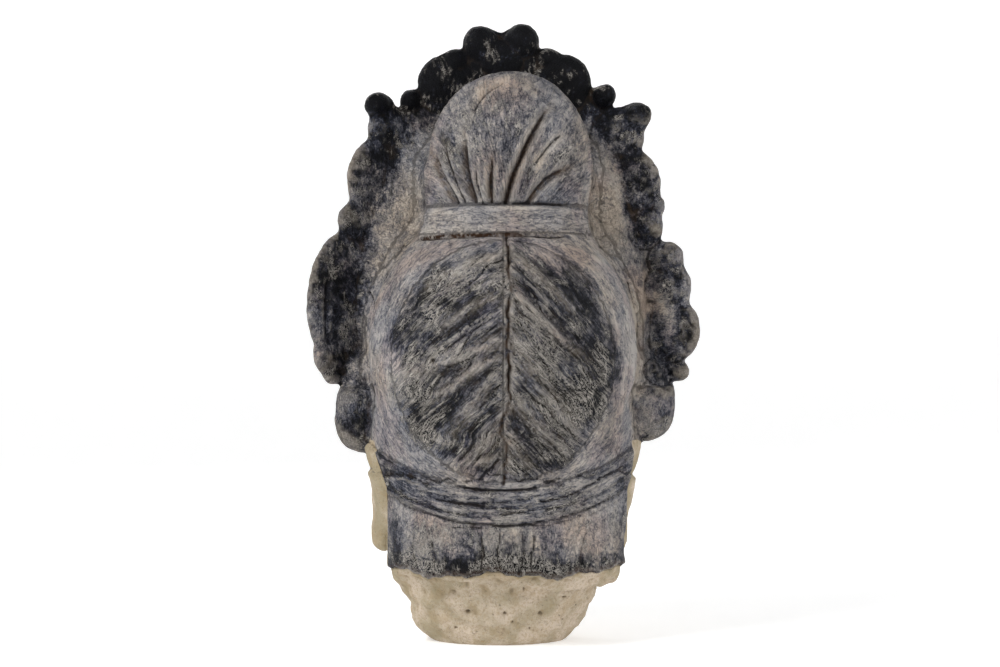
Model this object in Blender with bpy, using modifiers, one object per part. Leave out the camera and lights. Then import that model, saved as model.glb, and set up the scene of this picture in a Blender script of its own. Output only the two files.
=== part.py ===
"""Buddha head sculpture: one cast piece that stands on the flat underside of its neck.

The face looks along -Y. The hair is bound into a topknot, and a scalloped crown
stands in front of it like a curved sheet. The whole head is a free form, so every
size and place below is given in hundredths of HEIGHT and turned into metres once,
by UNIT. The origin is on the underside.

The form is built the way a modeller builds it in clay. Rounded masses are pressed
together, the skin is drawn over them with soft fillets, the hair, bands, face and
scrolls are carved into the skin, and the neck is cut off flat.
"""

import math
from dataclasses import dataclass

import bmesh
import bpy
import numpy as np
from mathutils import Euler, Matrix, Vector, noise

HEIGHT = 0.45
UNIT = HEIGHT / 100

# The skin
SKIN_VOXEL = 0.55        # spacing of the points that are carved
SETTLE_ROUNDS = 3
SETTLE_STEP = 1.5        # how far a point may move in one round
LEAST_SLOPE = 0.4
PROBE = 0.1              # how far off the slope is felt
PROBES = PROBE * np.eye(3, dtype=np.float32)
TRIANGLES = 9700
STEEP = 0.6              # slope of the carving that is kept in full
KEEP_LEVELS = 8
MOST_KEPT = 0.9
KEEP_FACTOR = 0.00002

# The sheet of the crown: how far forward it stands, how it leans and how it curves
CROWN_FRONT = -19.5
CROWN_LEAN = 0.17
CROWN_FOOT = 56.0
CROWN_CURVE = 0.020
SHEET_HALF = 2.3

# Heights that several parts share
HAIRLINE = 50.0
PARTING_TOP = 64.6
PARTING_FOOT = 25.5
TIE_MIDDLE = 66.6
TIE_HALF = 2.2
HEM = 11.6

CLAY = (0.30, 0.27, 0.24, 1.0)
CLAY_ROUGHNESS = 0.85


@dataclass
class Form:
    """One rounded mass of clay."""
    centre: tuple
    radii: tuple
    turn: tuple = (0, 0, 0)      # degrees
    blend: float = 1.5           # width of the fillet where it meets what is there
    drum: bool = False           # an upright drum, where others are balls
    taper: float = 0.0           # how much wider a drum is at its top
    rim: float = 1.0             # rounding of a drum's edges
    on_sheet: bool = False       # set on the crown's curved sheet, with y across it
    hollow: bool = False         # pressed in, where others are added


@dataclass
class Groove:
    """A stroke of the modelling tool, as a curve through points seen from the back or front."""
    points: tuple
    depth: float
    width: float


def both_sides(form):
    """The form and its mirror image across the middle."""
    x, y, z = form.centre
    tilt, lean, spin = form.turn
    values = dict(form.__dict__, centre=(-x, y, z), turn=(tilt, -lean, -spin))
    return [form, Form(**values)]


def crown_depth(x, z):
    """Where the crown's sheet lies, seen along Y."""
    return CROWN_FRONT + CROWN_LEAN * np.maximum(z - CROWN_FOOT, 0) + CROWN_CURVE * x * x


def head_forms():
    """The hair mass at the back, seen as a tall dome that narrows to the nape."""
    return [
        Form((0, 3, 45.5), (21.3, 21.0, 20.8)),
        Form((0, 3.5, 53), (18.6, 18, 12.5), blend=4),
        Form((0, 2, 33), (19.4, 18.5, 14), blend=3),
        Form((0, -2, 60), (15.5, 15, 9), blend=3),
        *both_sides(Form((19, -7, 53), (5, 5.5, 14), blend=4)),
    ]


def neck_forms():
    """The neck, the skirt of hair round its back and the bare stump below."""
    return [
        Form((0, -1, 17), (12.4, 12, 12), drum=True, blend=3, rim=2),
        Form((-0.4, 3.6, 19.7), (18.1, 14.6, 9), drum=True, blend=3),
        Form((0.8, 1.6, 5.2), (13.8, 12.6, 6.4), drum=True, taper=0.14, blend=1.5, rim=6),
        Form((-0.7, 2.2, 11.0), (17.9, 13.4, 1.8), drum=True, blend=1.2, rim=1.4),
        Form((1.1, 1.6, 8.6), (15.3, 12.6, 2.0), drum=True, blend=1.3, rim=1.5),
    ]


def face_forms():
    return [
        Form((0, -6, 37), (16.6, 15.6, 21.5), blend=3),
        Form((0, -9, 47), (15.4, 13.2, 10), blend=3),
        Form((0, -15.4, 19.6), (6.2, 5.8, 5.0), blend=3.5),
        Form((0, -16.4, 24.8), (6.0, 5.0, 4.6), blend=3),
        *both_sides(Form((8.0, -14.6, 29), (6.2, 5.7, 6.8), blend=3.5)),
        *both_sides(Form((7.0, -21.4, 38.2), (5.6, 2.6, 3.0), blend=2.5, hollow=True)),
        *both_sides(Form((7.1, -16.7, 37.9), (5.2, 4.1, 3.3), blend=0.8)),
        Form((0, -20.3, 36.6), (1.7, 4.0, 7.4), turn=(-16, 0, 0), blend=2.2),
        Form((0, -23.6, 31.0), (2.2, 3.0, 2.0), blend=1.4),
        *both_sides(Form((2.4, -22.1, 30.3), (1.5, 2.4, 1.6), blend=0.9)),
        Form((0, -20.9, 25.0), (4.5, 1.9, 1.3), blend=0.7),
        Form((0, -20.6, 22.9), (3.5, 2.1, 1.4), blend=0.4),
    ]


def ear_forms():
    """Long ears that hang beside the neck. The lobes are a little uneven."""
    forms = [
        *both_sides(Form((17.2, -1, 28), (3.6, 7.5, 11), blend=3)),
        *both_sides(Form((19.7, -4, 35.5), (2.9, 4.6, 9), turn=(8, 4, 14), blend=1.5)),
    ]
    forms += both_sides(Form((19.0, -3, 30.4), (2.8, 3.4, 4.0), blend=2))
    for x, z in ((18.4, 22.6), (-17.5, 22.4)):
        forms.append(Form((x, -3.2, z), (2.3, 3.5, 8.4), turn=(3, 0, 0), drum=True, blend=1.2, rim=1.9))
    return forms


def topknot_forms():
    """The domed topknot, and the fillets between it and the crown."""
    return [
        Form((-1.1, 0, 76.8), (13.0, 12.5, 14.0), blend=2.5),
        Form((-0.6, 0, 67.5), (12.9, 12.8, 8), drum=True, blend=2.5, rim=2),
        *both_sides(Form((13.5, -10.5, 70), (8.0, 5.5, 13), turn=(0, 0, 20), blend=5)),
    ]


# The crown's outline, lobe by lobe: x, z, half width, half height and half thickness.
# They were pressed on by hand, so the left and right differ.
LOBES = (
    (0.2, 94.0, 3.4, 3.4, 2.4), (-3.0, 97.0, 2.9, 2.9, 2.6), (3.6, 96.6, 3.0, 3.0, 2.6),
    (7.8, 93.7, 2.1, 2.0, 1.8), (-7.5, 94.0, 1.9, 1.8, 1.8),
    (9.5, 89.9, 4.5, 4.8, 2.8), (-9.8, 89.9, 4.7, 4.8, 2.8),
    (15.1, 87.0, 1.8, 1.8, 1.9), (20.2, 85.9, 2.3, 2.1, 2.2), (18.4, 82.0, 3.6, 3.6, 2.2),
    (-16.5, 87.6, 2.0, 2.0, 2.0), (-21.6, 84.0, 2.5, 2.3, 2.3), (-18.8, 81.0, 4.2, 4.6, 2.2),
    (19.0, 73.6, 6.3, 7.6, 2.7), (-19.8, 72.6, 5.8, 6.6, 2.7),
    (23.4, 67.0, 3.4, 3.4, 2.3), (-25.4, 69.4, 0.9, 1.2, 1.0), (-23.3, 66.0, 2.7, 3.4, 2.2),
    (-26.4, 60.8, 2.7, 2.9, 2.2), (-27.0, 56.2, 3.4, 4.3, 2.4), (-26.9, 49.3, 4.7, 5.6, 2.8),
    (-28.5, 42.6, 1.6, 1.5, 1.4), (-25.6, 42.8, 2.6, 2.2, 1.8), (25.1, 53.4, 6.4, 12.0, 3.0),
    (27.6, 45.0, 2.8, 3.2, 2.4), (27.2, 41.7, 1.8, 1.3, 1.3),
)
EAR_CLUMPS = ((23.2, 35.1, 4.0, 5.6), (24.1, 38.0, 2.9, 3.2), (-23.2, 36.8, 4.6, 5.5),
              (-25.0, 39.0, 2.9, 2.6))
# Half the width of the sheet itself at each height, inside the lobes.
SHEET_OUTLINE = ((42, 22.0), (46, 26.0), (50, 27.2), (54, 27.4), (58, 26.2), (62, 24.4), (66, 22.0),
                 (70, 20.6), (74, 20.6), (78, 19.0), (82, 17.6), (85, 16.0), (88, 12.5), (91, 9.0),
                 (94, 5.5))
SHEET_BAND = 4.4
BEADS = 11
BEAD_STEP = 3.7
BEAD_HEIGHT = 57.0
BEAD = 1.45
BAND_HALF = 2.6
BAND_SOFT = 0.4
BAND_LIFT = 0.9
BAND_ENDS = (20.5, 23.5)
FRINGE_END = (53.0, 54.2)    # where the hair goes under the band
MEDALLION = (0.0, 73.0, 5.8, 8.8)
ROSETTE = (12.0, 68.0, 5.0)
SMALLEST_SCROLL = 2.6


def crown_forms():
    forms = [Form((0, 0, z), (half, SHEET_HALF, SHEET_BAND), blend=3, on_sheet=True)
             for z, half in SHEET_OUTLINE]
    for x, z, wide, tall, thick in LOBES:
        forms.append(Form((x, 0, z), (wide, thick, tall), blend=1.2, on_sheet=True))
    for x, z, wide, tall in EAR_CLUMPS:
        forms.append(Form((x, -4, z), (wide, 3.4, tall), blend=0.8))
    forms += both_sides(Form((21.5, -5, 42), (4.2, 3.6, 4.2), blend=2))
    return forms


def ornament_forms():
    """The front of the crown: a medallion between two rosettes, over a row of beads."""
    x, z, wide, tall = MEDALLION
    forms = [
        Form((x, -2.6, z), (wide, 1.8, tall), blend=0.6, on_sheet=True),
        Form((x, -4.4, z - 1.5), (2.6, 1.3, 3.4), blend=0.4, on_sheet=True),
    ]
    x, z, size = ROSETTE
    forms += both_sides(Form((x, -2.2, z), (size, 1.6, size), blend=0.6, on_sheet=True))
    forms += both_sides(Form((x, -3.5, z), (1.9, 1.4, 1.9), blend=0.3, on_sheet=True))
    for number in range(BEADS):
        x = BEAD_STEP * (number - (BEADS - 1) / 2)
        forms.append(Form((x, -2.9, BEAD_HEIGHT), (BEAD, BEAD, BEAD), blend=0.3, on_sheet=True))
    return forms


def all_forms():
    return (head_forms() + neck_forms() + face_forms() + ear_forms() + topknot_forms()
            + crown_forms() + ornament_forms())


def matrix_of(form):
    turn = Euler([math.radians(angle) for angle in form.turn]).to_matrix().to_4x4()
    size = Matrix.Diagonal([*(radius * UNIT for radius in form.radii), 1])
    return Matrix.Translation(Vector(form.centre) * UNIT) @ turn @ size


def unit_mesh(drum):
    bm = bmesh.new()
    if drum:
        bmesh.ops.create_cone(bm, cap_ends=True, segments=48, radius1=1, radius2=1, depth=2)
    else:
        bmesh.ops.create_uvsphere(bm, u_segments=32, v_segments=20, radius=1)
    mesh = bpy.data.meshes.new("unit")
    bm.to_mesh(mesh)
    bm.free()
    return mesh


def pressed_together(forms):
    """The masses as they are before their skin is drawn over them, in one mesh."""
    units = {drum: unit_mesh(drum) for drum in (False, True)}
    bm = bmesh.new()
    for form in forms:
        if form.hollow:
            continue
        piece = units[form.drum].copy()
        piece.transform(matrix_of(form))
        if form.on_sheet:
            for vertex in piece.vertices:
                x, _, z = vertex.co / UNIT
                vertex.co.y += crown_depth(x, z) * UNIT
        bm.from_mesh(piece)
        bpy.data.meshes.remove(piece)
    for mesh in units.values():
        bpy.data.meshes.remove(mesh)
    mesh = bpy.data.meshes.new("buddha_head")
    bm.to_mesh(mesh)
    bm.free()
    return mesh


def apply_modifiers(obj):
    bpy.context.view_layer.update()
    graph = bpy.context.evaluated_depsgraph_get()
    old = obj.data
    mesh = bpy.data.meshes.new_from_object(obj.evaluated_get(graph))
    obj.modifiers.clear()
    obj.data = mesh
    bpy.data.meshes.remove(old)


def remesh(obj, voxel):
    skin = obj.modifiers.new("Skin", "REMESH")
    skin.mode = "VOXEL"
    skin.voxel_size = voxel
    apply_modifiers(obj)


def points_of(mesh):
    values = np.empty(len(mesh.vertices) * 3, np.float32)
    mesh.vertices.foreach_get("co", values)
    return values.reshape(-1, 3) / UNIT


def normals_of(mesh):
    values = np.empty(len(mesh.vertices) * 3, np.float32)
    mesh.vertex_normals.foreach_get("vector", values)
    return values.reshape(-1, 3)


def move_points(mesh, points):
    mesh.vertices.foreach_set("co", (points * UNIT).astype(np.float32).ravel())
    mesh.update()


def length(vectors):
    return np.sqrt(np.einsum("ij,ij->i", vectors, vectors))


def smooth_min(a, b, width):
    """The lesser of two distances, with a fillet of the given width where they cross."""
    overlap = np.maximum(width - np.abs(a - b), 0) / width
    return np.minimum(a, b) - overlap * overlap * width / 4


def ellipse_distance(local, radii):
    scaled = local / radii
    reach = length(scaled)
    return reach * (reach - 1) / np.maximum(length(scaled / radii), 1e-6)


def distance_to(form, points):
    turn = Euler([math.radians(angle) for angle in form.turn]).to_matrix()
    local = (points - np.float32(form.centre)) @ np.array(turn, np.float32)
    radii = np.float32(form.radii)
    if not form.drum:
        return ellipse_distance(local, radii)
    widening = 1 + form.taper * np.clip(local[:, 2:] / radii[2], -1, 1)
    side = ellipse_distance(local[:, :2] / widening, radii[:2])
    return -smooth_min(-side, radii[2] - np.abs(local[:, 2]), form.rim)


def skin_distance(points, forms):
    """How far each point lies outside the blended masses."""
    margin = 3
    total = np.full(len(points), 60.0, np.float32)
    on_sheet = points.copy()
    on_sheet[:, 1] -= crown_depth(points[:, 0], points[:, 2])
    for form in forms:
        source = on_sheet if form.on_sheet else points
        turn = Euler([math.radians(angle) for angle in form.turn]).to_matrix()
        reach = np.abs(np.array(turn)) @ np.array(form.radii) + form.blend + margin
        near = np.flatnonzero((np.abs(source - np.float32(form.centre)) < np.float32(reach)).all(axis=1))
        if not len(near):
            continue
        distance = distance_to(form, source[near])
        if form.hollow:
            total[near] = -smooth_min(-total[near], distance, form.blend)
        else:
            total[near] = smooth_min(total[near], distance, form.blend)
    return total


def settle(obj, forms):
    """Moves the skin's points onto the blended masses, straight down their slope."""
    for _ in range(SETTLE_ROUNDS):
        points = points_of(obj.data)
        here = skin_distance(points, forms)
        slope = np.stack([skin_distance(points + probe, forms) - here for probe in PROBES], 1) / PROBE
        step = np.clip(here, -SETTLE_STEP, SETTLE_STEP) / np.maximum(length(slope), LEAST_SLOPE)
        move_points(obj.data, points - step[:, None] * slope)


def bell(distance, width):
    return np.exp(-(distance / width) ** 2)


def fade(value, low, high):
    share = np.clip((value - low) / (high - low), 0, 1)
    return share * share * (3 - 2 * share)


def between(value, low, high, soft):
    return fade(value, low - soft, low + soft) * (1 - fade(value, high - soft, high + soft))


def ridges(phase, sharpness=0.55):
    """Rounded ridges with narrow grooves between them, one for each whole phase."""
    return np.abs(np.sin(np.pi * phase)) ** sharpness - 0.75


def bezier(points, count=24):
    """A smooth curve through the first and last of two, three or four points."""
    share = np.linspace(0, 1, count)[:, None]
    degree = len(points) - 1
    curve = 0
    for number, point in enumerate(points):
        weight = math.comb(degree, number) * share ** number * (1 - share) ** (degree - number)
        curve = curve + weight * np.array(point, float)
    return curve


def curve_distance(across, up, points):
    """Distance from a curve seen flat on, and how far along it the nearest place is."""
    margin = 2.5
    line = bezier(points)
    gap = np.full(len(across), 99.0)
    along = np.zeros(len(across))
    low, high = line.min(0) - margin, line.max(0) + margin
    near = np.flatnonzero((across > low[0]) & (across < high[0]) & (up > low[1]) & (up < high[1]))
    place = np.stack([across[near], up[near]], 1)
    nearest, share = gap[near], along[near]
    steps = len(line) - 1
    for number in range(steps):
        start, run = line[number], line[number + 1] - line[number]
        part = np.clip(((place - start) @ run) / (run @ run), 0, 1)
        distance = length(place - start - part[:, None] * run)
        closer = distance < nearest
        nearest[closer] = distance[closer]
        share[closer] = ((number + part) / steps)[closer]
    gap[near], along[near] = nearest, share
    return gap, along


def grooves(x, z, strokes, tail=0.3):
    """The strokes, each with the clay it pushed up beside it, fading at its far end."""
    lift = np.zeros(len(x))
    for stroke in strokes:
        gap, along = curve_distance(x, z, stroke.points)
        ends = fade(1 - along, 0, tail)
        lift -= stroke.depth * bell(gap, stroke.width) * ends
        lift += 0.3 * stroke.depth * bell(gap - 2.3 * stroke.width, 1.3 * stroke.width) * ends
    return lift


TOPKNOT_STROKES = (
    Groove(((7.4, 69.2), (9.8, 72.5), (11.6, 78.5)), 1.0, 0.7),
    Groove(((4.4, 69.4), (6.6, 74.0), (6.0, 81.0)), 0.9, 0.7),
    Groove(((1.9, 69.3), (2.3, 73.0), (1.6, 76.6)), 0.8, 0.6),
    Groove(((-0.4, 69.2), (-2.0, 76.0), (-7.6, 85.0)), 1.4, 0.7),
    Groove(((-3.9, 69.0), (-6.0, 73.0), (-11.0, 75.0)), 0.7, 0.7),
    Groove(((0.2, 88.6), (4.0, 87.6), (5.6, 81.5)), 0.5, 0.6),
)
HAIR_STROKES = (
    Groove(((0.0, 64.0), (7.7, 62.0), (14.6, 57.5)), 0.9, 0.8),
    Groove(((0.4, 47.7), (4.9, 45.5), (15.0, 42.3)), 1.0, 0.8),
    Groove(((1.2, 42.4), (4.9, 38.0), (11.0, 33.0)), 1.1, 0.8),
    Groove(((1.0, 36.4), (4.4, 33.0), (9.6, 26.6)), 1.1, 0.8),
    Groove(((0.0, 30.6), (2.6, 28.6), (5.0, 25.4)), 0.8, 0.7),
    Groove(((-1.2, 62.6), (-7.5, 59.0), (-16.6, 46.2)), 0.9, 0.8),
    Groove(((-1.2, 55.2), (-7.0, 51.0), (-14.4, 41.6)), 1.0, 0.8),
    Groove(((-0.6, 46.5), (-4.4, 40.5), (-12.0, 34.0)), 1.1, 0.8),
    Groove(((-1.4, 39.4), (-5.4, 34.6), (-9.8, 30.0)), 1.0, 0.8),
    Groove(((-1.2, 33.4), (-2.8, 31.0), (-5.6, 27.0)), 0.8, 0.7),
)
FACE_STROKES = (
    Groove(((2.8, 37.2), (6.6, 35.3), (11.6, 38.2)), 0.6, 0.42),
    Groove(((2.6, 38.6), (6.6, 43.0), (12.2, 38.9)), 0.45, 0.5),
    Groove(((0.0, 24.05), (2.2, 23.4), (5.0, 24.6)), 0.65, 0.4),
    Groove(((2.0, 29.2), (3.6, 29.3), (4.3, 31.6)), 0.45, 0.45),
)
BROW = ((1.6, 39.6), (3.4, 45.6), (14.6, 42.0))
NAPE_LINES = (   # height at the middle, x from and to, depth
    (24.6, -6.0, 7.0, 1.1), (22.0, -11.0, 6.0, 0.5), (19.4, -16.5, 14.5, 0.7),
)
NAPE_SAG = 0.014


def topknot_carving(x, z):
    gathers = 0.3 * ridges((x + 1.1) / (2.2 + 0.16 * np.maximum(z - 69, 0)), 0.8)
    gathers *= between(z, 69.5, 76, 2.5)
    return (grooves(x, z, TOPKNOT_STROKES) + gathers) * fade(z, 68, 69.5)


def tie_carving(x, z):
    """The band round the topknot's foot, with a cut line under it."""
    middle = TIE_MIDDLE - 0.002 * x * x
    ends = between(x, -11.5, 12.5, 2.0)
    band = 0.85 * (1 - fade(np.abs(z - middle), TIE_HALF - 0.6, TIE_HALF + 0.3)) * ends
    under = 0.9 * bell(z - middle + TIE_HALF + 0.4, 0.42) * between(x, -6.5, 12.8, 1.0)
    over = 0.45 * bell(z - middle - TIE_HALF - 0.1, 0.5) * ends
    return band - under - over


def parting_place(z):
    return -0.5 + 0.35 * np.sin(z / 3.1)


def strand_phase(x, z):
    """Counts the locks down the parting. On the left they turn down more and more."""
    side = x - parting_place(z)
    away = np.abs(side)
    left = (z + 0.018 * away ** 2 + 2.45 * away) / (1 + 0.033 * away)
    right = z + 1.0 * away + 0.006 * away ** 2
    return np.where(side > 0, left, right + 1.4), away


def hair_carving(x, z):
    start, away = strand_phase(x, z)
    wave = 0.3 * np.sin(0.55 * away + 0.3 * z)
    oval = np.hypot(x / 18.6, (z - 44.5) / 20.5)
    mask = (1 - fade(oval, 0.74, 1.0)) * fade(away, 0, 0.8) * (1 - fade(start, 62, 66))
    locks = 0.35 * ridges((start + wave) / 5.6)
    parting = 1.1 * bell(away, 0.65) * between(z, PARTING_FOOT, PARTING_TOP, 0.6)
    return (locks + grooves(x, z, HAIR_STROKES)) * mask - parting


def nape_carving(x, z):
    """Hair brushed round the nape, over the skirt."""
    sag = NAPE_SAG * x * x
    roll = 0.55 * between(z - sag, 19.4, 24.6, 0.5)
    lines = 0
    for height, low, high, depth in NAPE_LINES:
        lines = lines + depth * bell(z - height - sag, 0.5) * between(x, low, high, 1.5)
    return roll - lines


def hem_height(x):
    return HEM + 0.45 * np.sin(0.36 * x + 1.2) + 0.3 * np.sin(0.95 * x)


def skirt_carving(x, y, z):
    """The skirt stands proud of the stump as far as its ragged hem."""
    flutes = 0.4 * ridges(2.07 * np.arctan2(x, y - 2) + 0.13) * (1 - fade(z, 17, 19))
    return (0.6 + flutes) * fade(y, -4, -1) * between(z - hem_height(x), 0, 14.5, 0.3)


def face_carving(x, z):
    away = np.abs(x)
    lift = grooves(away, z, FACE_STROKES, tail=0.1)
    gap, along = curve_distance(away, z, BROW)
    lift += 0.42 * bell(gap, 0.75) * (1 - fade(along, 0.75, 1))
    lift -= 0.45 * bell(away, 0.8) * bell(z - 27.4, 1.1)
    lift -= 0.35 * bell(np.hypot(away / 2.6, (z - 21) / 0.9), 1)
    return lift * (1 - fade(z, 46, 49))


def fringe_carving(x, z):
    """Waves of hair that sweep from the middle of the forehead under the crown."""
    over = z - HAIRLINE + 0.026 * x * x
    waves = 0.7 * ridges(over / 2.5 + 0.25 * np.sin(0.5 * np.abs(x)))
    under_band = 1 - fade(z, *FRINGE_END)
    return (0.8 + waves) * between(over, 0, 7.5, 0.5) * (1 - fade(np.abs(x), 17, 19)) * under_band


def neck_carving(x, z):
    folds = (13.6, 10.4)
    return -0.35 * sum(bell(z - height - 0.012 * x * x, 0.45) for height in folds)


def scroll_carving(x, z):
    """An eye and a ring on each large lobe, and the cuts of the medallion and rosettes."""
    lift = np.zeros(len(x))
    for centre_x, centre_z, wide, tall, _ in LOBES:
        if min(wide, tall) < SMALLEST_SCROLL:
            continue
        reach = np.hypot((x - centre_x) / wide, (z - centre_z) / tall)
        lift += 0.8 * bell(reach, 0.3) - 0.7 * bell(reach - 0.58, 0.8 / (wide + tall))
    centre_x, centre_z, wide, tall = MEDALLION
    reach = np.hypot((x - centre_x) / wide, (z - centre_z) / tall)
    lift -= 0.7 * bell(reach - 0.72, 0.1)
    centre_x, centre_z, size = ROSETTE
    across, up = np.abs(x) - centre_x, z - centre_z
    reach = np.hypot(across, up) / size
    petals = bell(np.sin(3 * np.arctan2(up, across)), 0.4) * between(reach, 0.5, 1.0, 0.08)
    lift -= 0.6 * bell(reach - 0.45, 0.12) + 0.7 * petals
    band = between(z, BEAD_HEIGHT - BAND_HALF, BEAD_HEIGHT + BAND_HALF, BAND_SOFT)
    lift += BAND_LIFT * band * (1 - fade(np.abs(x), *BAND_ENDS))
    return lift


def rough_carving(points, bare):
    """Lumps left by the hand, larger on the bare stump."""
    lumps = np.array([noise.noise(Vector(place) * 0.16) for place in points])
    dabs = np.array([noise.noise(Vector(place) * 0.55) for place in points])
    return (0.12 + 0.8 * bare) * lumps + 0.3 * bare * dabs


def carve(mesh):
    """Lifts or lowers each point of the skin along its normal."""
    points = points_of(mesh).astype(float)
    normals = normals_of(mesh).astype(float)
    x, y, z = points.T
    faces_back = fade(normals[:, 1], -0.05, 0.35) * fade(y, -6, 0)
    faces_front = fade(-normals[:, 1], 0.05, 0.4)
    before_sheet = fade(crown_depth(x, z) - y, 0.2, 1.0) * fade(z, 33, 36)
    outward = fade(np.hypot(normals[:, 0], normals[:, 1]), 0.2, 0.5)
    bare = fade(z, 0.5, 3) * (1 - fade(z, hem_height(x) - 1, hem_height(x)))

    lift = faces_back * (topknot_carving(x, z) + tie_carving(x, z) + hair_carving(x, z)
                         + nape_carving(x, z))
    lift += skirt_carving(x, y, z)
    lift += faces_front * fade(-y, 8, 12) * face_carving(x, z)
    lift += outward * fade(-y, -2, 3) * fringe_carving(x, z)
    lift += faces_front * fade(-y, 4, 8) * neck_carving(x, z)
    lift += faces_front * before_sheet * scroll_carving(x, z)
    lift += rough_carving(points, bare)
    move_points(mesh, points + lift[:, None] * normals)
    return points, lift


def carved_share(mesh, points, lift):
    """How steeply the carving rises at each point, from 0 on plain skin to 1."""
    ends = np.empty(len(mesh.edges) * 2, np.int32)
    mesh.edges.foreach_get("vertices", ends)
    a, b = ends.reshape(-1, 2).T
    slope = np.abs(lift[a] - lift[b]) / np.maximum(length(points[a] - points[b]), 1e-6)
    steepest = np.zeros(len(points))
    np.maximum.at(steepest, a, slope)
    np.maximum.at(steepest, b, slope)
    return fade(steepest, 0.1, STEEP)


def thin_out(obj, keep):
    """Fewer, larger faces, above all where the form is plain."""
    triangles = sum(len(face.vertices) - 2 for face in obj.data.polygons)
    group = obj.vertex_groups.new(name="carved")
    levels = np.round(keep * KEEP_LEVELS).astype(int)
    for level in range(1, KEEP_LEVELS + 1):
        group.add(np.flatnonzero(levels == level).tolist(), MOST_KEPT * level / KEEP_LEVELS, "REPLACE")
    facets = obj.modifiers.new("Facets", "DECIMATE")
    facets.ratio = TRIANGLES / triangles
    facets.vertex_group = group.name
    facets.invert_vertex_group = True
    facets.vertex_group_factor = KEEP_FACTOR
    apply_modifiers(obj)
    obj.vertex_groups.clear()


def cut_flat(mesh):
    """Cuts the neck off at the ground and closes it."""
    bm = bmesh.new()
    bm.from_mesh(mesh)
    everything = bm.verts[:] + bm.edges[:] + bm.faces[:]
    cut = bmesh.ops.bisect_plane(bm, geom=everything, plane_co=(0, 0, 0), plane_no=(0, 0, -1),
                                 dist=UNIT / 1000, clear_outer=True)
    rim = [item for item in cut["geom_cut"] if isinstance(item, bmesh.types.BMEdge)]
    bmesh.ops.triangle_fill(bm, edges=rim, use_beauty=True, use_dissolve=False)
    bmesh.ops.recalc_face_normals(bm, faces=bm.faces[:])
    bm.to_mesh(mesh)
    bm.free()


def clay_material():
    material = bpy.data.materials.new("painted_clay")
    material.use_nodes = True
    shader = material.node_tree.nodes["Principled BSDF"]
    shader.inputs["Base Color"].default_value = CLAY
    shader.inputs["Roughness"].default_value = CLAY_ROUGHNESS
    shader.inputs["Metallic"].default_value = 0.0
    return material


def make_head(collection):
    forms = all_forms()
    head = bpy.data.objects.new("buddha_head", pressed_together(forms))
    collection.objects.link(head)
    remesh(head, SKIN_VOXEL * UNIT)
    settle(head, forms)
    remesh(head, SKIN_VOXEL * UNIT)
    settle(head, forms)
    points, lift = carve(head.data)
    thin_out(head, carved_share(head.data, points, lift))
    cut_flat(head.data)
    head.data.shade_smooth()
    head.data.materials.append(clay_material())
    return head


for leftover in list(bpy.data.objects):
    bpy.data.objects.remove(leftover)
sculpture = bpy.data.collections.new("buddha_head_sculpture")
bpy.context.scene.collection.children.link(sculpture)
make_head(sculpture)
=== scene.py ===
"""The looks of the buddha head sculpture: modelled clay, painted dark and rubbed back.

The head is built again from the masses that make the solid, with a finer skin, and
the tool strokes, lumps and pits are carved into it. Places are in hundredths of the
head's height, read from the frame. Each point of the skin is then told how it is
painted, and one procedural material draws the paint from that.
"""

import math
from dataclasses import dataclass, replace
from functools import partial, reduce

import bmesh
import bpy
import numpy as np
from mathutils import Euler, Matrix, Vector, noise


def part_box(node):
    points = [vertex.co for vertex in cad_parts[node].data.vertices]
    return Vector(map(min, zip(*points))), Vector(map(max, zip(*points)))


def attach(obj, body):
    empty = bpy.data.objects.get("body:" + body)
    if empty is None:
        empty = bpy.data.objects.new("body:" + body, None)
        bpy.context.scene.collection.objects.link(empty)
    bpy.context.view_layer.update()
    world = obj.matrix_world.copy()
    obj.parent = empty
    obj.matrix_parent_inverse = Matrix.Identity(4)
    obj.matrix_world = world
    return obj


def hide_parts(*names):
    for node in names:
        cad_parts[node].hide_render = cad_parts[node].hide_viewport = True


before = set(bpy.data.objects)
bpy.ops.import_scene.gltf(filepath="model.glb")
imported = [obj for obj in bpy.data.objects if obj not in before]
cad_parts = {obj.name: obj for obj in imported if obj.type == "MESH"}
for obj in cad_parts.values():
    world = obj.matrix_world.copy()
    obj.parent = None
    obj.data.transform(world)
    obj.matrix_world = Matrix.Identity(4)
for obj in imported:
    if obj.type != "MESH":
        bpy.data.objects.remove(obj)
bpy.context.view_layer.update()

CROWN_TIP = 99.9                     # the crown's highest lobe, in hundredths of the height
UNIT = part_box("buddha_head")[1].z / CROWN_TIP

# The skin
ROUGH_VOXEL = 0.6
SKIN_VOXEL = 0.34
SETTLE_STEP = 1.5            # the furthest a point moves at once
LEAST_SLOPE = 0.4
PROBE = 0.1
PROBES = PROBE * np.eye(3, dtype=np.float32)
FAR = 99.0                   # further than any gap that is asked for
TRIANGLES = 197000
STEEP = 0.6                  # a slope of the carving that keeps all its faces
KEEP_LEVELS = 8
MOST_KEPT = 0.9
KEEP_FACTOR = 0.00002

# The sheet of the crown
CROWN_FRONT = -19.5
CROWN_LEAN = 0.17
CROWN_FOOT = 56
CROWN_CURVE = 0.02
SHEET_HALF = 2.3

# Places that several parts share
HAIRLINE = 50
FRINGE_SAG = 0.026
HAIR_MIDDLE = 44.5
HAIR_HALF = 18.6
KNOT_MIDDLE = -1.1
TIE_MIDDLE = 66.6
TIE_HALF = 2.2
TIE_SAG = 0.002
TIE_CUT = 0.4                # how far under the tie its cut line runs
NAPE_SAG = 0.014
HEM = 11.6
EAR_EDGES = (18.3, 19.7)     # where the skirt ends on the right and on the left
PARTING_TOP = 64.6
PARTING_FOOT = 25.5
# The parting down the hair, as heights and places across.
PARTING = ((25.5, 0), (31, -0.7), (33.6, 0.5), (39, -1), (48.6, -0.6), (55.2, -1), (64.6, -0.6))

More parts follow.
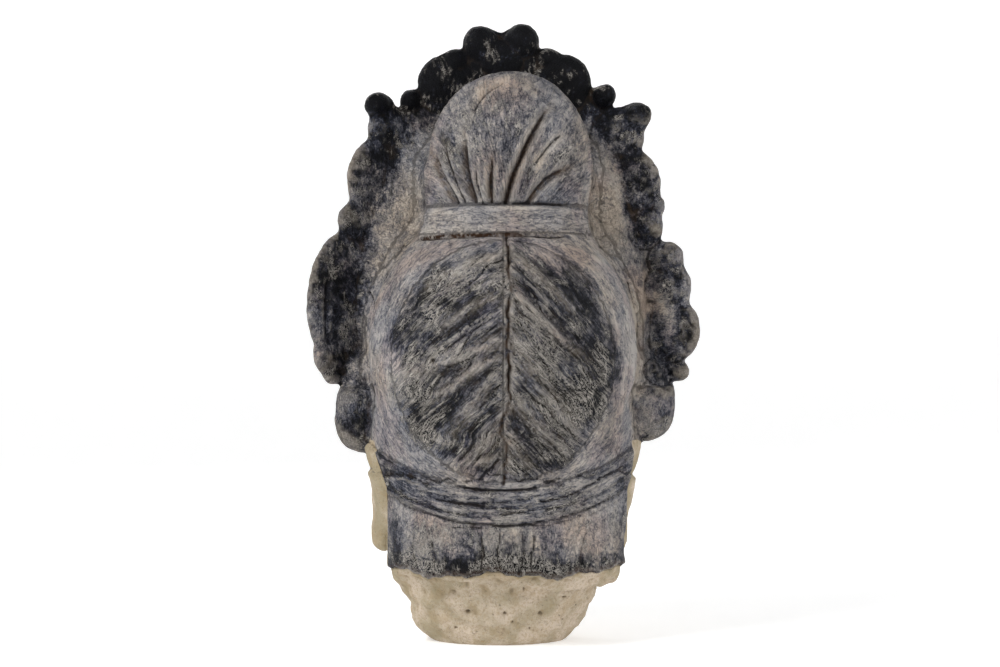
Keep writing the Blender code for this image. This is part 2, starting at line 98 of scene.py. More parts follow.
# The marks of the tools, and the pits
SEED = 11
HAIR_SCRATCHES = 150
NAPE_SCRATCHES = 40
STUMP_PITS = 60
STUMP_HOLES = ((5.7, 5.3), (-0.2, 5.4), (7.5, 2.6), (-9.4, 7.6))

# The paint
THICKEST = 1.25
FULL_GROOVE = 0.12           # the depths that count as a full groove and a full recess
FULL_RECESS = 0.35
BUMP_DEPTH = 0.0013          # m
# Where pale paint was rubbed on: x, z, half width, half height and strength.
RUBBED = (
    (5.6, 57.4, 5, 2.2, 0.5), (10, 45.6, 1.8, 1.4, 0.6), (-6.6, 43.4, 2.6, 2.4, 0.5),
    (11, 32.6, 3.4, 3, 0.4), (-12, 37, 4, 5, 0.3), (15.4, 42, 2, 6, 0.4), (0, 92.5, 8, 2.5, 0.12),
    (-10, 88.5, 4, 3, 0.12), (10.5, 91, 3, 2, 0.1), (-18, 80, 3.5, 5, 0.26), (-26, 55, 3, 8, 0.16),
    (26, 52, 3, 6, 0.12), (7.2, 79, 3, 5, 0.4), (-10, 79, 3, 4, 0.2), (11.5, 15.6, 4, 3, 0.3),
    (8, 50.5, 5, 4, 0.2), (-7, 36, 4, 4, 0.2), (0, 15.6, 14, 3, 0.12),
)
# Where the dark paint is thicker or thinner, and a few painted highlights: x, z, half width, half
# height and how much.
TONES = (
    (7.2, 78.5, 2.6, 4, 0.28), (-0.5, 80.5, 3.5, 3.5, 0.05), (-9, 75, 3, 3.5, 0.1),
    (-8.5, 71.3, 4, 1.8, -0.1), (9.8, 71, 2, 2.5, -0.1), (0.5, 88.6, 6, 2.5, -0.14),
    (5.5, 57.5, 5, 2.4, -0.16), (9, 34, 4, 3, 0.12), (-7.5, 56, 3, 2.5, 0.14), (-13, 39, 4, 4, 0.12),
    (-3.5, 29.5, 2.5, 2.5, 0.1), (12.5, 38, 3, 3, 0.1), (17.4, 16, 1.2, 5, 0.3),
    (-13, 17, 5, 3, -0.12), (7, 13.4, 9, 1.6, 0.16), (-5, 13.6, 7, 2, 0.2), (16.5, 25.6, 3.5, 2, 0.22),
    (-16, 24, 4, 3, -0.1), (24.6, 49, 2.4, 4.5, -0.3), (-25.2, 51.5, 3.2, 8, -0.54),
    (-23.6, 37.5, 2.4, 4, -0.2), (22.6, 60, 2.5, 2, -0.3), (29.2, 50, 0.7, 8, -0.22),
    # On the next two lines, (2, 17.8), (-1.4, 18) and (-4.4, 17.3) are painted highlights on the tops
    # of the skirt's flutes.
    (22.6, 36, 1.5, 3, -0.14), (2, 17.8, 1, 1.6, -0.28), (-1.4, 18, 1.2, 1.4, -0.24),
    (-4.4, 17.3, 0.8, 2.6, -0.24), (-27.6, 49, 1.6, 3, 0.1), (28, 56, 2, 4, 0.14),
    (21.6, 71.5, 2.4, 3.4, -0.34), (18.5, 79.5, 2, 2.6, 0.2), (20.5, 65, 2.4, 4, -0.1),
    (-17, 69, 2.5, 8, -0.12), (-20.5, 72, 1.8, 3, -0.16), (-21, 66, 1.8, 3, -0.1),
    (24.6, 66, 2, 3, 0.1), (18.4, 77.6, 1.6, 2, 0.2), (17, 73.5, 1.4, 2, 0.16), (22.8, 75, 1, 5, -0.2),
    (14.8, 70, 1.6, 5, -0.24), (15, 62, 3, 5, -0.05), (-15.8, 62, 3, 7, -0.12),
    (-21.5, 44, 2, 8, -0.12), (-26.8, 46, 2, 2.5, 0.3), (-22.6, 57, 1.6, 6, -0.1),
    (0, 21.8, 10, 1.6, 0.1), (-1, 15, 4, 3, 0.2), (-17, 14, 3, 4, -0.12), (0.2, 92.5, 9, 3, 0.14),
    (21, 35.6, 1.5, 2, -0.1), (23.6, 35.6, 2.4, 4, 0.3), (-16.2, 69.3, 2.5, 6, -0.3),
    # On the next line, (-10.5, 6) is a painted highlight on the stump's right side.
    (-20.6, 48, 1.4, 9, -0.14), (9, 66.6, 5, 2.6, -0.08), (-10.5, 6, 5, 7, -0.2),
    (13.6, 15, 1.6, 3.4, -0.12), (4.6, 15.4, 1.6, 3, 0.2), (13.6, 56, 4, 3.4, 0.12),
    (-12, 54, 3, 3, 0.1), (-14, 40, 4, 3, 0.12), (19.4, 21, 1.2, 9, 0.3), (-19.4, 21, 1.2, 9, 0.3),
    (-14, 15.5, 4, 3.6, -0.14), (-10, 38, 4, 3, 0.14), (-5, 55, 2.5, 3, -0.08), (7, 50, 4, 3, -0.06),
    (9.5, 35.6, 3, 2.4, 0.06), (13.5, 36, 3.4, 3.4, 0.12), (-5, 29, 3, 2.4, 0.06),
    (-6.5, 46.4, 2.6, 2.4, 0.1),
)

# The studio, in metres and watts, and the camera
WORLD_LIGHT = 0.05
PAPER_GLOW = 0.38
LAMPS = (   # name, place, size and power
    ("key", (1.1, 1.1, 1.6), 0.6, 20), ("fill", (-1.5, 1.3, 0.5), 1.2, 4),
    ("front", (0.5, -1.6, 1.2), 1, 10),
)
LAMPS_AIM = (0, 0, 0.22)
PHOTO_WIDTH = 1000
SENSOR = 36
PIXELS_PER_UNIT = 6.224
CAMERA_AWAY = 400
CAMERA_UP = 48.7
CAMERA_ASIDE = 0.482


@dataclass
class Form:
    """One rounded mass of clay."""
    centre: tuple
    radii: tuple
    turn: tuple = (0, 0, 0)      # degrees
    blend: float = 1.5           # width of the fillet where it meets what is there
    drum: bool = False           # an upright drum, where others are balls
    taper: float = 0.0           # how much wider a drum is at its top
    rim: float = 1.0             # rounding of a drum's edges
    on_sheet: bool = False       # set on the crown's curved sheet, with y across it
    hollow: bool = False         # pressed in, where others are added

    def rotation(self):
        return Euler([math.radians(angle) for angle in self.turn]).to_matrix()


@dataclass
class Groove:
    """A stroke of the modelling tool, as a curve through points seen from the back or front."""
    points: tuple
    depth: float
    width: float


def strokes_from(*rows):
    """Strokes from rows of numbers: x and z of each point, then the depth and the width."""
    return [Groove(tuple(zip(row[:-2:2], row[1:-2:2])), *row[-2:]) for row in rows]


def both_sides(form):
    """The form and its mirror image across the middle."""
    x, y, z = form.centre
    tilt, lean, spin = form.turn
    return [form, replace(form, centre=(-x, y, z), turn=(tilt, -lean, -spin))]


def crown_depth(x, z):
    """Where the crown's sheet lies, seen along Y."""
    return CROWN_FRONT + CROWN_LEAN * np.maximum(z - CROWN_FOOT, 0) + CROWN_CURVE * x * x


def head_forms():
    """The hair mass at the back, seen as a tall dome that narrows to the nape."""
    return [
        Form((0, 3, 45.5), (21.3, 21, 20.8)),
        Form((0, 3.5, 53), (18.6, 18, 12.5), blend=4),
        Form((0, 2, 33), (19.4, 18.5, 14), blend=3),
        Form((0, -2, 60), (15.5, 15, 9), blend=3),
        *both_sides(Form((19, -7, 53), (5, 5.5, 14), blend=4)),
    ]


def neck_forms():
    """The neck, the skirt of hair round its back and the bare stump below."""
    return [
        Form((0, -1, 17), (12.4, 12, 12), drum=True, blend=3, rim=2),
        Form((-0.4, 3.6, 19.7), (18.1, 14.6, 9), drum=True, blend=3),
        Form((0.8, 1.6, 5.2), (13.8, 12.6, 6.4), drum=True, taper=0.14, blend=1.5, rim=6),
        Form((-0.7, 2.2, 11), (17.9, 13.4, 1.8), drum=True, blend=1.2, rim=1.4),
        Form((1.1, 1.6, 8.6), (15.3, 12.6, 2), drum=True, blend=1.3, rim=1.5),
    ]


def face_forms():
    return [
        Form((0, -6, 37), (16.6, 15.6, 21.5), blend=3),
        Form((0, -9, 47), (15.4, 13.2, 10), blend=3),
        Form((0, -15.4, 19.6), (6.2, 5.8, 5), blend=3.5),
        Form((0, -16.4, 24.8), (6, 5, 4.6), blend=3),
        *both_sides(Form((8, -14.6, 29), (6.2, 5.7, 6.8), blend=3.5)),
        *both_sides(Form((7, -21.4, 38.2), (5.6, 2.6, 3), blend=2.5, hollow=True)),
        *both_sides(Form((7.1, -16.7, 37.9), (5.2, 4.1, 3.3), blend=0.8)),
        Form((0, -20.3, 36.6), (1.7, 4, 7.4), turn=(-16, 0, 0), blend=2.2),
        Form((0, -23.6, 31), (2.2, 3, 2), blend=1.4),
        *both_sides(Form((2.4, -22.1, 30.3), (1.5, 2.4, 1.6), blend=0.9)),
        Form((0, -20.9, 25), (4.5, 1.9, 1.3), blend=0.7),
        Form((0, -20.6, 22.9), (3.5, 2.1, 1.4), blend=0.4),
    ]


def ear_forms():
    """Long ears that hang beside the neck. The lobes are a little uneven."""
    lobes = [Form((x, -3.2, z), (2.3, 3.5, 8.4), turn=(3, 0, 0), drum=True, blend=1.2, rim=1.9)
             for x, z in ((18.4, 22.6), (-17.5, 22.4))]
    return [
        *both_sides(Form((17.2, -1, 28), (3.6, 7.5, 11), blend=3)),
        *both_sides(Form((19.7, -4, 35.5), (2.9, 4.6, 9), turn=(8, 4, 14))),
        *both_sides(Form((19, -3, 30.4), (2.8, 3.4, 4), blend=2)),
        *lobes,
    ]


def topknot_forms():
    """The domed topknot, and the fillets between it and the crown."""
    return [
        Form((-1.1, 0, 76.8), (13, 12.5, 14), blend=2.5),
        Form((-0.6, 0, 67.5), (12.9, 12.8, 8), drum=True, blend=2.5, rim=2),
        *both_sides(Form((13.5, -10.5, 70), (8, 5.5, 13), turn=(0, 0, 20), blend=5)),
    ]


# The crown's outline, lobe by lobe: x, z, half width, half height and half thickness.
# They were pressed on by hand, so the left and right differ.
LOBES = (
    (0.2, 94, 3.4, 3.4, 2.4), (-3, 97, 2.9, 2.9, 2.6), (3.6, 96.6, 3, 3, 2.6),
    (7.8, 93.7, 2.1, 2, 1.8), (-7.5, 94, 1.9, 1.8, 1.8), (9.5, 89.9, 4.5, 4.8, 2.8),
    (-9.8, 89.9, 4.7, 4.8, 2.8), (15.1, 87, 1.8, 1.8, 1.9), (20.2, 85.9, 2.3, 2.1, 2.2),
    (18.4, 82, 3.6, 3.6, 2.2), (-16.5, 87.6, 2, 2, 2), (-21.6, 84, 2.5, 2.3, 2.3),
    (-18.8, 81, 4.2, 4.6, 2.2), (19, 73.6, 6.3, 7.6, 2.7), (-19.8, 72.6, 5.8, 6.6, 2.7),
    (23.4, 67, 3.4, 3.4, 2.3), (-25.4, 69.4, 0.9, 1.2, 1), (-23.3, 66, 2.7, 3.4, 2.2),
    (-26.4, 60.8, 2.7, 2.9, 2.2), (-27, 56.2, 3.4, 4.3, 2.4), (-26.9, 49.3, 4.7, 5.6, 2.8),
    (-28.5, 42.6, 1.6, 1.5, 1.4), (-25.6, 42.8, 2.6, 2.2, 1.8), (25.1, 53.4, 6.4, 12, 3),
    (27.6, 45, 2.8, 3.2, 2.4), (27.2, 41.7, 1.8, 1.3, 1.3),
)
EAR_CLUMPS = ((23.2, 35.1, 4, 5.6), (24.1, 38, 2.9, 3.2), (-23.2, 36.8, 4.6, 5.5),
              (-25, 39, 2.9, 2.6))
# Half the width of the sheet itself at each height, inside the lobes.
SHEET_OUTLINE = ((42, 22), (46, 26), (50, 27.2), (54, 27.4), (58, 26.2), (62, 24.4), (66, 22),
                 (70, 20.6), (74, 20.6), (78, 19), (82, 17.6), (85, 16), (88, 12.5), (91, 9),
                 (94, 5.5))
SHEET_BAND = 4.4
BEADS = 11
BEAD_STEP = 3.7
BEAD_HEIGHT = 57
BEAD = 1.45
BAND_HALF = 2.6
BAND_SOFT = 0.4
BAND_LIFT = 0.9
BAND_ENDS = (20.5, 23.5)
FRINGE_END = (53, 54.2)
MEDALLION = (0, 73, 5.8, 8.8)
ROSETTE = (12, 68, 5)
SMALLEST_SCROLL = 2.6


def on_sheet(x, y, z, radii, blend):
    return Form((x, y, z), radii, blend=blend, on_sheet=True)


def clump_forms(blend):
    return [Form((x, -4, z), (wide, 3.4, tall), blend=blend) for x, z, wide, tall in EAR_CLUMPS]


def crown_forms():
    forms = [on_sheet(0, 0, z, (half, SHEET_HALF, SHEET_BAND), 3) for z, half in SHEET_OUTLINE]
    for x, z, wide, tall, thick in LOBES:
        forms.append(on_sheet(x, 0, z, (wide, thick, tall), 1.2))
    forms += clump_forms(0.8)
    forms += both_sides(Form((21.5, -5, 42), (4.2, 3.6, 4.2), blend=2))
    return forms


def ornament_forms():
    """The front of the crown: a medallion between two rosettes, over a row of beads."""
    x, z, wide, tall = MEDALLION
    forms = [
        on_sheet(x, -2.6, z, (wide, 1.8, tall), 0.6),
        on_sheet(x, -4.4, z - 1.5, (2.6, 1.3, 3.4), 0.4),
    ]
    x, z, size = ROSETTE
    forms += both_sides(on_sheet(x, -2.2, z, (size, 1.6, size), 0.6))
    forms += both_sides(on_sheet(x, -3.5, z, (1.9, 1.4, 1.9), 0.3))
    for number in range(BEADS):
        x = BEAD_STEP * (number - (BEADS - 1) / 2)
        forms.append(on_sheet(x, -2.9, BEAD_HEIGHT, (BEAD, BEAD, BEAD), 0.3))
    return forms


def all_forms():
    return (head_forms() + neck_forms() + face_forms() + ear_forms() + topknot_forms()
            + crown_forms() + ornament_forms())


def matrix_of(form):
    size = Matrix.Diagonal([*(radius * UNIT for radius in form.radii), 1])
    return Matrix.Translation(Vector(form.centre) * UNIT) @ form.rotation().to_4x4() @ size


def mesh_from(bm, name):
    mesh = bpy.data.meshes.new(name)
    bm.to_mesh(mesh)
    bm.free()
    return mesh


def new_object(name, data):
    obj = bpy.data.objects.new(name, data)
    bpy.context.scene.collection.objects.link(obj)
    return obj


def unit_mesh(drum):
    bm = bmesh.new()
    if drum:
        bmesh.ops.create_cone(bm, cap_ends=True, segments=48, radius1=1, radius2=1, depth=2)
    else:
        bmesh.ops.create_uvsphere(bm, u_segments=32, v_segments=20, radius=1)
    return mesh_from(bm, "unit")


def pressed_together(forms):
    """The masses as they are before their skin is drawn over them, in one mesh."""
    units = {drum: unit_mesh(drum) for drum in (False, True)}
    bm = bmesh.new()
    for form in forms:
        if form.hollow:
            continue
        piece = units[form.drum].copy()
        piece.transform(matrix_of(form))
        if form.on_sheet:
            for vertex in piece.vertices:
                x, _, z = vertex.co / UNIT
                vertex.co.y += crown_depth(x, z) * UNIT
        bm.from_mesh(piece)
        bpy.data.meshes.remove(piece)
    for mesh in units.values():
        bpy.data.meshes.remove(mesh)
    return mesh_from(bm, "buddha_head")


def apply_modifiers(obj):
    bpy.context.view_layer.update()
    graph = bpy.context.evaluated_depsgraph_get()
    old = obj.data
    mesh = bpy.data.meshes.new_from_object(obj.evaluated_get(graph))
    obj.modifiers.clear()
    obj.data = mesh
    bpy.data.meshes.remove(old)


def remesh(obj, voxel):
    skin = obj.modifiers.new("Skin", "REMESH")
    skin.mode = "VOXEL"
    skin.voxel_size = voxel
    apply_modifiers(obj)


def read(items, name, count=3, kind=np.float32):
    values = np.empty(len(items) * count, kind)
    items.foreach_get(name, values)
    return values.reshape(-1, count)


def points_of(mesh):
    return read(mesh.vertices, "co") / UNIT


def normals_of(mesh):
    return read(mesh.vertex_normals, "vector")


def move_points(mesh, points):
    mesh.vertices.foreach_set("co", (points * UNIT).astype(np.float32).ravel())
    mesh.update()


def length(vectors):
    return np.sqrt(np.einsum("ij,ij->i", vectors, vectors))


def smooth_min(a, b, width):
    """The lesser of two distances, with a fillet of the given width where they cross."""
    overlap = np.maximum(width - np.abs(a - b), 0) / width
    return np.minimum(a, b) - overlap * overlap * width / 4


def ellipse_distance(local, radii):
    scaled = local / radii
    reach = length(scaled)
    return reach * (reach - 1) / np.maximum(length(scaled / radii), 1e-6)


def distance_to(form, points):
    local = (points - np.float32(form.centre)) @ np.array(form.rotation(), np.float32)
    radii = np.float32(form.radii)
    if not form.drum:
        return ellipse_distance(local, radii)
    widening = 1 + form.taper * np.clip(local[:, 2:] / radii[2], -1, 1)
    side = ellipse_distance(local[:, :2] / widening, radii[:2])
    return -smooth_min(-side, radii[2] - np.abs(local[:, 2]), form.rim)


def skin_distance(points, forms):
    """How far each point lies outside the blended masses."""
    margin = 3
    total = np.full(len(points), FAR, np.float32)
    on_sheet = points.copy()
    on_sheet[:, 1] -= crown_depth(points[:, 0], points[:, 2])
    for form in forms:
        source = on_sheet if form.on_sheet else points
        reach = np.abs(np.array(form.rotation())) @ np.array(form.radii) + form.blend + margin
        inside = np.abs(source - np.float32(form.centre)) < np.float32(reach)
        near = np.flatnonzero(inside.all(axis=1))
        if not len(near):
            continue
        distance = distance_to(form, source[near])
        if form.hollow:
            total[near] = -smooth_min(-total[near], distance, form.blend)
        else:
            total[near] = smooth_min(total[near], distance, form.blend)
    return total


def settle(obj, forms, rounds):
    """Moves the skin's points onto the blended masses, straight down their slope."""
    for _ in range(rounds):
        points = points_of(obj.data)
        here = skin_distance(points, forms)
        slope = np.stack([skin_distance(points + probe, forms) - here for probe in PROBES], 1) / PROBE
        step = np.clip(here, -SETTLE_STEP, SETTLE_STEP) / np.maximum(length(slope), LEAST_SLOPE)
        move_points(obj.data, points - step[:, None] * slope)


def bell(distance, width):
    return np.exp(-(distance / width) ** 2)


def fade(value, low, high):
    share = np.clip((value - low) / (high - low), 0, 1)
    return share * share * (3 - 2 * share)


def fall(value, low, high):
    return 1 - fade(value, low, high)


def between(value, low, high, soft):
    return fade(value, low - soft, low + soft) * fall(value, high - soft, high + soft)


def ridges(phase, sharpness=0.55):
    """Rounded ridges with narrow grooves between them, one for each whole phase."""
    return np.abs(np.sin(np.pi * phase)) ** sharpness - 0.75


def oval_reach(x, z, mid_x, mid_z, wide, tall):
    """How far out each point lies, as a share of the oval's own size."""
    return np.hypot((x - mid_x) / wide, (z - mid_z) / tall)


def bezier(points, count=24):
    """A smooth curve through the first and last of two, three or four points."""
    share = np.linspace(0, 1, count)[:, None]
    degree = len(points) - 1
    curve = 0
    for number, point in enumerate(points):
        weight = math.comb(degree, number) * share ** number * (1 - share) ** (degree - number)
        curve = curve + weight * np.array(point, float)
    return curve


def curve_distance(across, up, points):
    """Distance from a curve seen flat on, and how far along it the nearest place is."""
    margin = 2.5
    line = bezier(points)
    gap = np.full(len(across), FAR)
    along = np.zeros(len(across))
    place = np.stack([across, up], 1)
    inside = (place > line.min(0) - margin) & (place < line.max(0) + margin)
    near = np.flatnonzero(inside.all(axis=1))
    place, nearest, share = place[near], gap[near], along[near]
    steps = len(line) - 1
    for number in range(steps):
        start, run = line[number], line[number + 1] - line[number]
        part = np.clip(((place - start) @ run) / (run @ run), 0, 1)
        distance = length(place - start - part[:, None] * run)
        closer = distance < nearest
        nearest[closer] = distance[closer]
        share[closer] = ((number + part) / steps)[closer]
    gap[near], along[near] = nearest, share
    return gap, along


def grooves(x, z, strokes, tail=0.3):
    """The strokes, each with the clay it pushed up beside it, fading at its far end."""
    lift = np.zeros(len(x))
    for stroke in strokes:
        gap, along = curve_distance(x, z, stroke.points)
        ends = fade(1 - along, 0, tail)
        lift -= stroke.depth * bell(gap, stroke.width) * ends
        lift += 0.3 * stroke.depth * bell(gap - 2.3 * stroke.width, 1.3 * stroke.width) * ends
    return lift


TOPKNOT_STROKES = strokes_from(
    (7.4, 69.2, 9.8, 72.5, 11.6, 78.5, 0.9, 0.42), (4.4, 69.4, 6.6, 74, 6, 81, 0.8, 0.42),
    (1.9, 69.3, 2.3, 73, 1.6, 76.6, 0.8, 0.34), (-0.4, 69.2, -2, 76, -7.6, 85, 1.4, 0.42),
    (-3.9, 69, -6, 73, -11, 75, 0.6, 0.42), (0.2, 88.6, 4, 87.6, 5.6, 81.5, 0.5, 0.4),
    (6, 69.3, 8.6, 73.5, 9.4, 80, 0.4, 0.26), (3.2, 69.2, 4.4, 72, 4.3, 75, 0.4, 0.24),
    (-5, 75, -7.6, 79, -9.6, 80, 0.35, 0.3),
)
HAIR_STROKES = strokes_from(
    (0, 64, 7.7, 62, 14.6, 57.5, 0.7, 0.5), (0.2, 61, 6, 57, 13, 50, 0.45, 0.4),
    (0.4, 47.7, 4.9, 45.5, 15, 42.3, 0.8, 0.5), (0.6, 52.6, 5, 50, 12.4, 44.6, 0.5, 0.4),
    (1.2, 42.4, 4.9, 38, 11, 33, 0.95, 0.5), (1, 36.4, 4.4, 33, 9.6, 26.6, 0.95, 0.5),
    (1, 39.6, 4.4, 36, 8, 31, 0.5, 0.36), (0, 30.6, 2.6, 28.6, 5, 25.4, 0.7, 0.42),
    (-1.2, 62.6, -7.5, 59, -16.6, 46.2, 0.7, 0.5), (-1.2, 55.2, -7, 51, -14.4, 41.6, 0.8, 0.48),
    (-1, 58.6, -7, 54.6, -15.6, 43.4, 0.4, 0.36), (-0.6, 46.5, -4.4, 40.5, -12, 34, 0.95, 0.5),
    (-0.8, 51, -5, 46, -11, 40.4, 0.45, 0.36), (-1.4, 39.4, -5.4, 34.6, -9.8, 30, 0.85, 0.46),
    (-1.2, 33.4, -2.8, 31, -5.6, 27, 0.6, 0.4), (-6.2, 64, -8.6, 63.6, -11, 62.4, 0.6, 0.26),
)
# Where the locks are brushed pale, from the parting outwards.
PALE_LOCKS = strokes_from(
    (0.3, 63.9, 7.4, 62.2, 15.5, 58.5, 1, 1.4), (0.8, 60.4, 6.3, 60, 12.6, 55.4, 1, 0.9),
    (0.5, 47.8, 5, 45.6, 17, 41.6, 1, 1.2), (0.2, 46.1, 6.3, 41.7, 12, 38, 1, 0.8),
    (1, 42.8, 3.2, 39.4, 8.6, 32.4, 1, 1.1), (0.2, 35, 3.2, 31.4, 8, 26, 1, 1),
    (0.6, 54.6, 5, 53, 9.4, 49.4, 1, 0.8), (-0.9, 63.9, -7.6, 62.4, -14.6, 57, 1, 1.5),
    (-2, 60.6, -6.4, 57, -11, 51.6, 1, 0.7), (-0.9, 55.6, -7.4, 48.4, -13, 44.6, 1, 0.8),
    (-0.9, 48.6, -4.8, 41.7, -12.4, 32.6, 1, 1.3), (-1.2, 39.6, -4.2, 35, -11, 29.6, 1, 1.2),
    (-0.6, 33.4, -2.4, 30.4, -4.6, 28, 1, 0.9), (1.4, 30, 7, 27.4, 12, 30, 1, 0.8),
    (-1.1, 58, -1.5, 50, -0.4, 40, 1, 0.7),
)
VALLEY_CRACKS = strokes_from(
    (21.4, 55.4, 19.6, 52.6, 21, 49.6, 20.8, 44, 0.35, 0.16),
    (-20.2, 57, -21.4, 52.4, -22.4, 48.8, 0.5, 0.2),
)
WING_CREASE = strokes_from((28.4, 57, 28.9, 51.5, 28.2, 45.5, 0.4, 0.26))
FACE_STROKES = strokes_from(
    (2.8, 37.2, 6.6, 35.3, 11.6, 38.2, 0.55, 0.3), (2.6, 38.6, 6.6, 43, 12.2, 38.9, 0.42, 0.36),
    (3.4, 36, 7.2, 33.2, 11.4, 36.6, 0.2, 0.45), (0, 24, 2.4, 23.5, 4.9, 24.5, 0.4, 0.4),
    (2.4, 29.2, 3.9, 29.5, 4.2, 31.4, 0.24, 0.4),
)
BROW = ((1.6, 39.6), (3.4, 45.6), (14.6, 42))
NAPE_LINES = (   # height at the middle, x from and to, depth
    (24.6, -5, 6.4, 1), (22.9, -14, 2, 0.3), (22, -3, 10, 0.35), (21, -12, 1, 0.3),
    (20.3, 2, 14, 0.25), (19.4, -16.5, 6, 0.34), (19, 4, 14.5, 0.3), (18.6, -15, -4, 0.25),
)
FLUTES = (13.4, 10.6, 3.2, 0.6, -2.9, -4.4, -12)


def near_strokes(x, z, strokes, width=None):
    """1 along each stroke and 0 away from them all. They keep their own widths if none is given."""
    share = np.zeros(len(x))
    for stroke in strokes:
        gap, along = curve_distance(x, z, stroke.points)
        reach = between(along, 0, 1, 0.12) * (1 - 0.45 * along)
        share = np.maximum(share, bell(gap, width or stroke.width) * reach)
    return share


def topknot_carving(x, z):
    gathers = 0.3 * ridges((x - KNOT_MIDDLE) / (2.2 + 0.16 * np.maximum(z - 69, 0)), 0.8)
    gathers *= between(z, 69.5, 76, 2.5)
    folds = 0.5 * near_strokes(x, z, TOPKNOT_STROKES[:6], 1.2)
    return (grooves(x, z, TOPKNOT_STROKES) + gathers - folds) * fade(z, 68, 69.5)


def tie_carving(x, z):
    """The band round the topknot's foot, with a cut line under it."""
    middle = TIE_MIDDLE - TIE_SAG * x * x
    ends = between(x, -11.5, 12.5, 2)
    off = np.abs(z - middle)
    band = 0.7 * fall(off, TIE_HALF - 0.9, TIE_HALF + 0.5) * ends
    under = 0.9 * bell(z - middle + TIE_HALF + TIE_CUT, 0.24) * between(x, -9, 12.8, 1.2)
    over = 0.5 * bell(z - middle - TIE_HALF - 0.1, 0.36) * between(x, -9, 4.5, 2)
    wraps = 0.12 * ridges((z - middle + 0.03 * x) / 1.1) * ends * fall(off, 1.4, 2)
    return band + wraps - under - over


def parting_place(z):
    heights, places = zip(*PARTING)
    return np.interp(z, heights, places) + 0.14 * np.sin(z / 0.9) + 0.08 * np.sin(z / 0.37)


def strand_phase(x, z):
    """Counts the locks down the parting. On the left they turn down more and more."""
    side = x - parting_place(z)
    away = np.abs(side)
    left = (z + 0.018 * away ** 2 + 2.45 * away) / (1 + 0.033 * away)
    right = z + away + 0.006 * away ** 2
    return np.where(side > 0, left, right + 1.4), away


def brushed(across, along, count, reach, dice):
    """Many short scratches that follow the strands, raised and sunk by turns."""
    lift = np.zeros(len(across))
    for _ in range(count):
        place, start = dice.uniform(*reach[0]), dice.uniform(*reach[1])
        run, width = dice.uniform(2.5, 8), dice.uniform(0.16, 0.34)
        depth = dice.uniform(0.1, 0.34) * dice.choice((-1, -1, 1))
        drift = dice.uniform(-0.12, 0.12)
        gap = across - place - drift * (along - start)
        lift += depth * bell(gap, width) * between(along, start, start + run, 0.8)
    return lift


def hair_carving(x, z, uneven, dice):
    """Locks combed down from the parting, each with a raised edge and a cut beside it."""
    start, away = strand_phase(x, z)
    wave = 0.3 * np.sin(0.55 * away + 0.3 * z) + 1.6 * uneven
    oval = np.hypot(x / HAIR_HALF, (z - HAIR_MIDDLE) / 20.5)
    mask = fall(oval, 0.8, 1) * fade(away, 0, 0.8) * fall(start, 62, 66)
    locks = 0.12 * ridges((start + wave) / 5.6) + 0.1 * ridges((start + 2 * wave) / 1.3)
    scratches = brushed(start + wave, away + 40 * (x > 0), HAIR_SCRATCHES, ((28, 70), (0, 56)), dice)
    parting = (0.6 + 1.3 * uneven) * bell(away, 0.3) * between(z, PARTING_FOOT, PARTING_TOP, 0.6)
    beds = 0.3 * bell(away, 1.6) * between(z, PARTING_FOOT, PARTING_TOP, 2)
    edges = (0.3 + 0.5 * uneven) * near_strokes(x, z + uneven, HAIR_STROKES, 0.6)
    edges -= 0.34 * near_strokes(x, z - 1.5, HAIR_STROKES, 1)
    pale = (0.36 + 1.2 * uneven) * near_strokes(x, z, PALE_LOCKS)
    edges += pale - 0.24 * near_strokes(x, z + 1.9, PALE_LOCKS, 0.5)
    cuts = (0.6 + 2 * uneven) * near_strokes(x, z + 0.8, HAIR_STROKES, 0.3)
    dab = 0.6 * bell(np.hypot(x - 10.4, z - 46), 0.9) - 0.5 * bell(np.hypot(x - 10.9, z - 44.6), 0.5)
    return (locks + scratches + edges - 0.5 * np.maximum(cuts, 0) + dab - beds) * mask - parting


def nape_carving(x, z, dice):
    """Hair brushed round the nape, over the skirt."""
    sag = NAPE_SAG * x * x
    roll = 0.42 * between(z - sag, 19.4, 24.4, 0.8)
    lines = 0
    for height, low, high, depth in NAPE_LINES:
        lines = lines + depth * bell(z - height - sag, 0.34) * between(x, low, high, 1.5)
    scratches = brushed(z - sag, x, NAPE_SCRATCHES, ((18.5, 25.5), (-20, 16)), dice)
    return roll - lines + scratches * between(z - sag, 17.6, 25.6, 0.6)


def hem_height(x):
    return HEM + 0.45 * np.sin(0.36 * x + 1.2) + 0.3 * np.sin(0.95 * x) + 0.12 * np.sin(3.1 * x)


def skirt_carving(x, y, z):
    """The skirt stands proud of the stump as far as its ragged hem."""
    flutes = 0.1 + np.zeros(len(x))
    for place in FLUTES:
        lean = place * (1 + 0.01 * (z - 15)) + 0.2 * np.sin(0.9 * z + place)
        flutes -= 0.3 * bell(x - lean, 0.3) - 0.14 * bell(x - lean - 0.9, 0.7)
    flutes *= fall(z, 17, 19.5)
    return (0.6 + flutes) * fade(y, -4, -1) * between(z - hem_height(x), 0, 14.5, 0.2)


def face_carving(x, z):
    away = np.abs(x)
    lift = grooves(away, z, FACE_STROKES, tail=0.1)
    gap, along = curve_distance(away, z, BROW)
    lift += 0.42 * bell(gap, 0.7) * fall(along, 0.75, 1)
    lift -= 0.25 * bell(away, 0.8) * bell(z - 27.4, 1.1)
    lift -= 0.35 * bell(np.hypot(away / 2.6, (z - 21) / 0.9), 1)
    return lift * fall(z, 46, 49)


def above_hairline(x, z):
    return z - HAIRLINE + FRINGE_SAG * x * x


def fringe_carving(x, z):
    """Waves of hair that sweep from the middle of the forehead under the crown."""
    over = above_hairline(x, z)
    phase = over / 2.5 + 0.25 * np.sin(0.5 * np.abs(x))
    waves = 0.7 * ridges(phase) + 0.14 * ridges(4 * phase)
    sides = fall(np.abs(x), 17, 19)
    return (0.8 + waves) * between(over, 0, 7.5, 0.4) * sides * fall(z, *FRINGE_END)


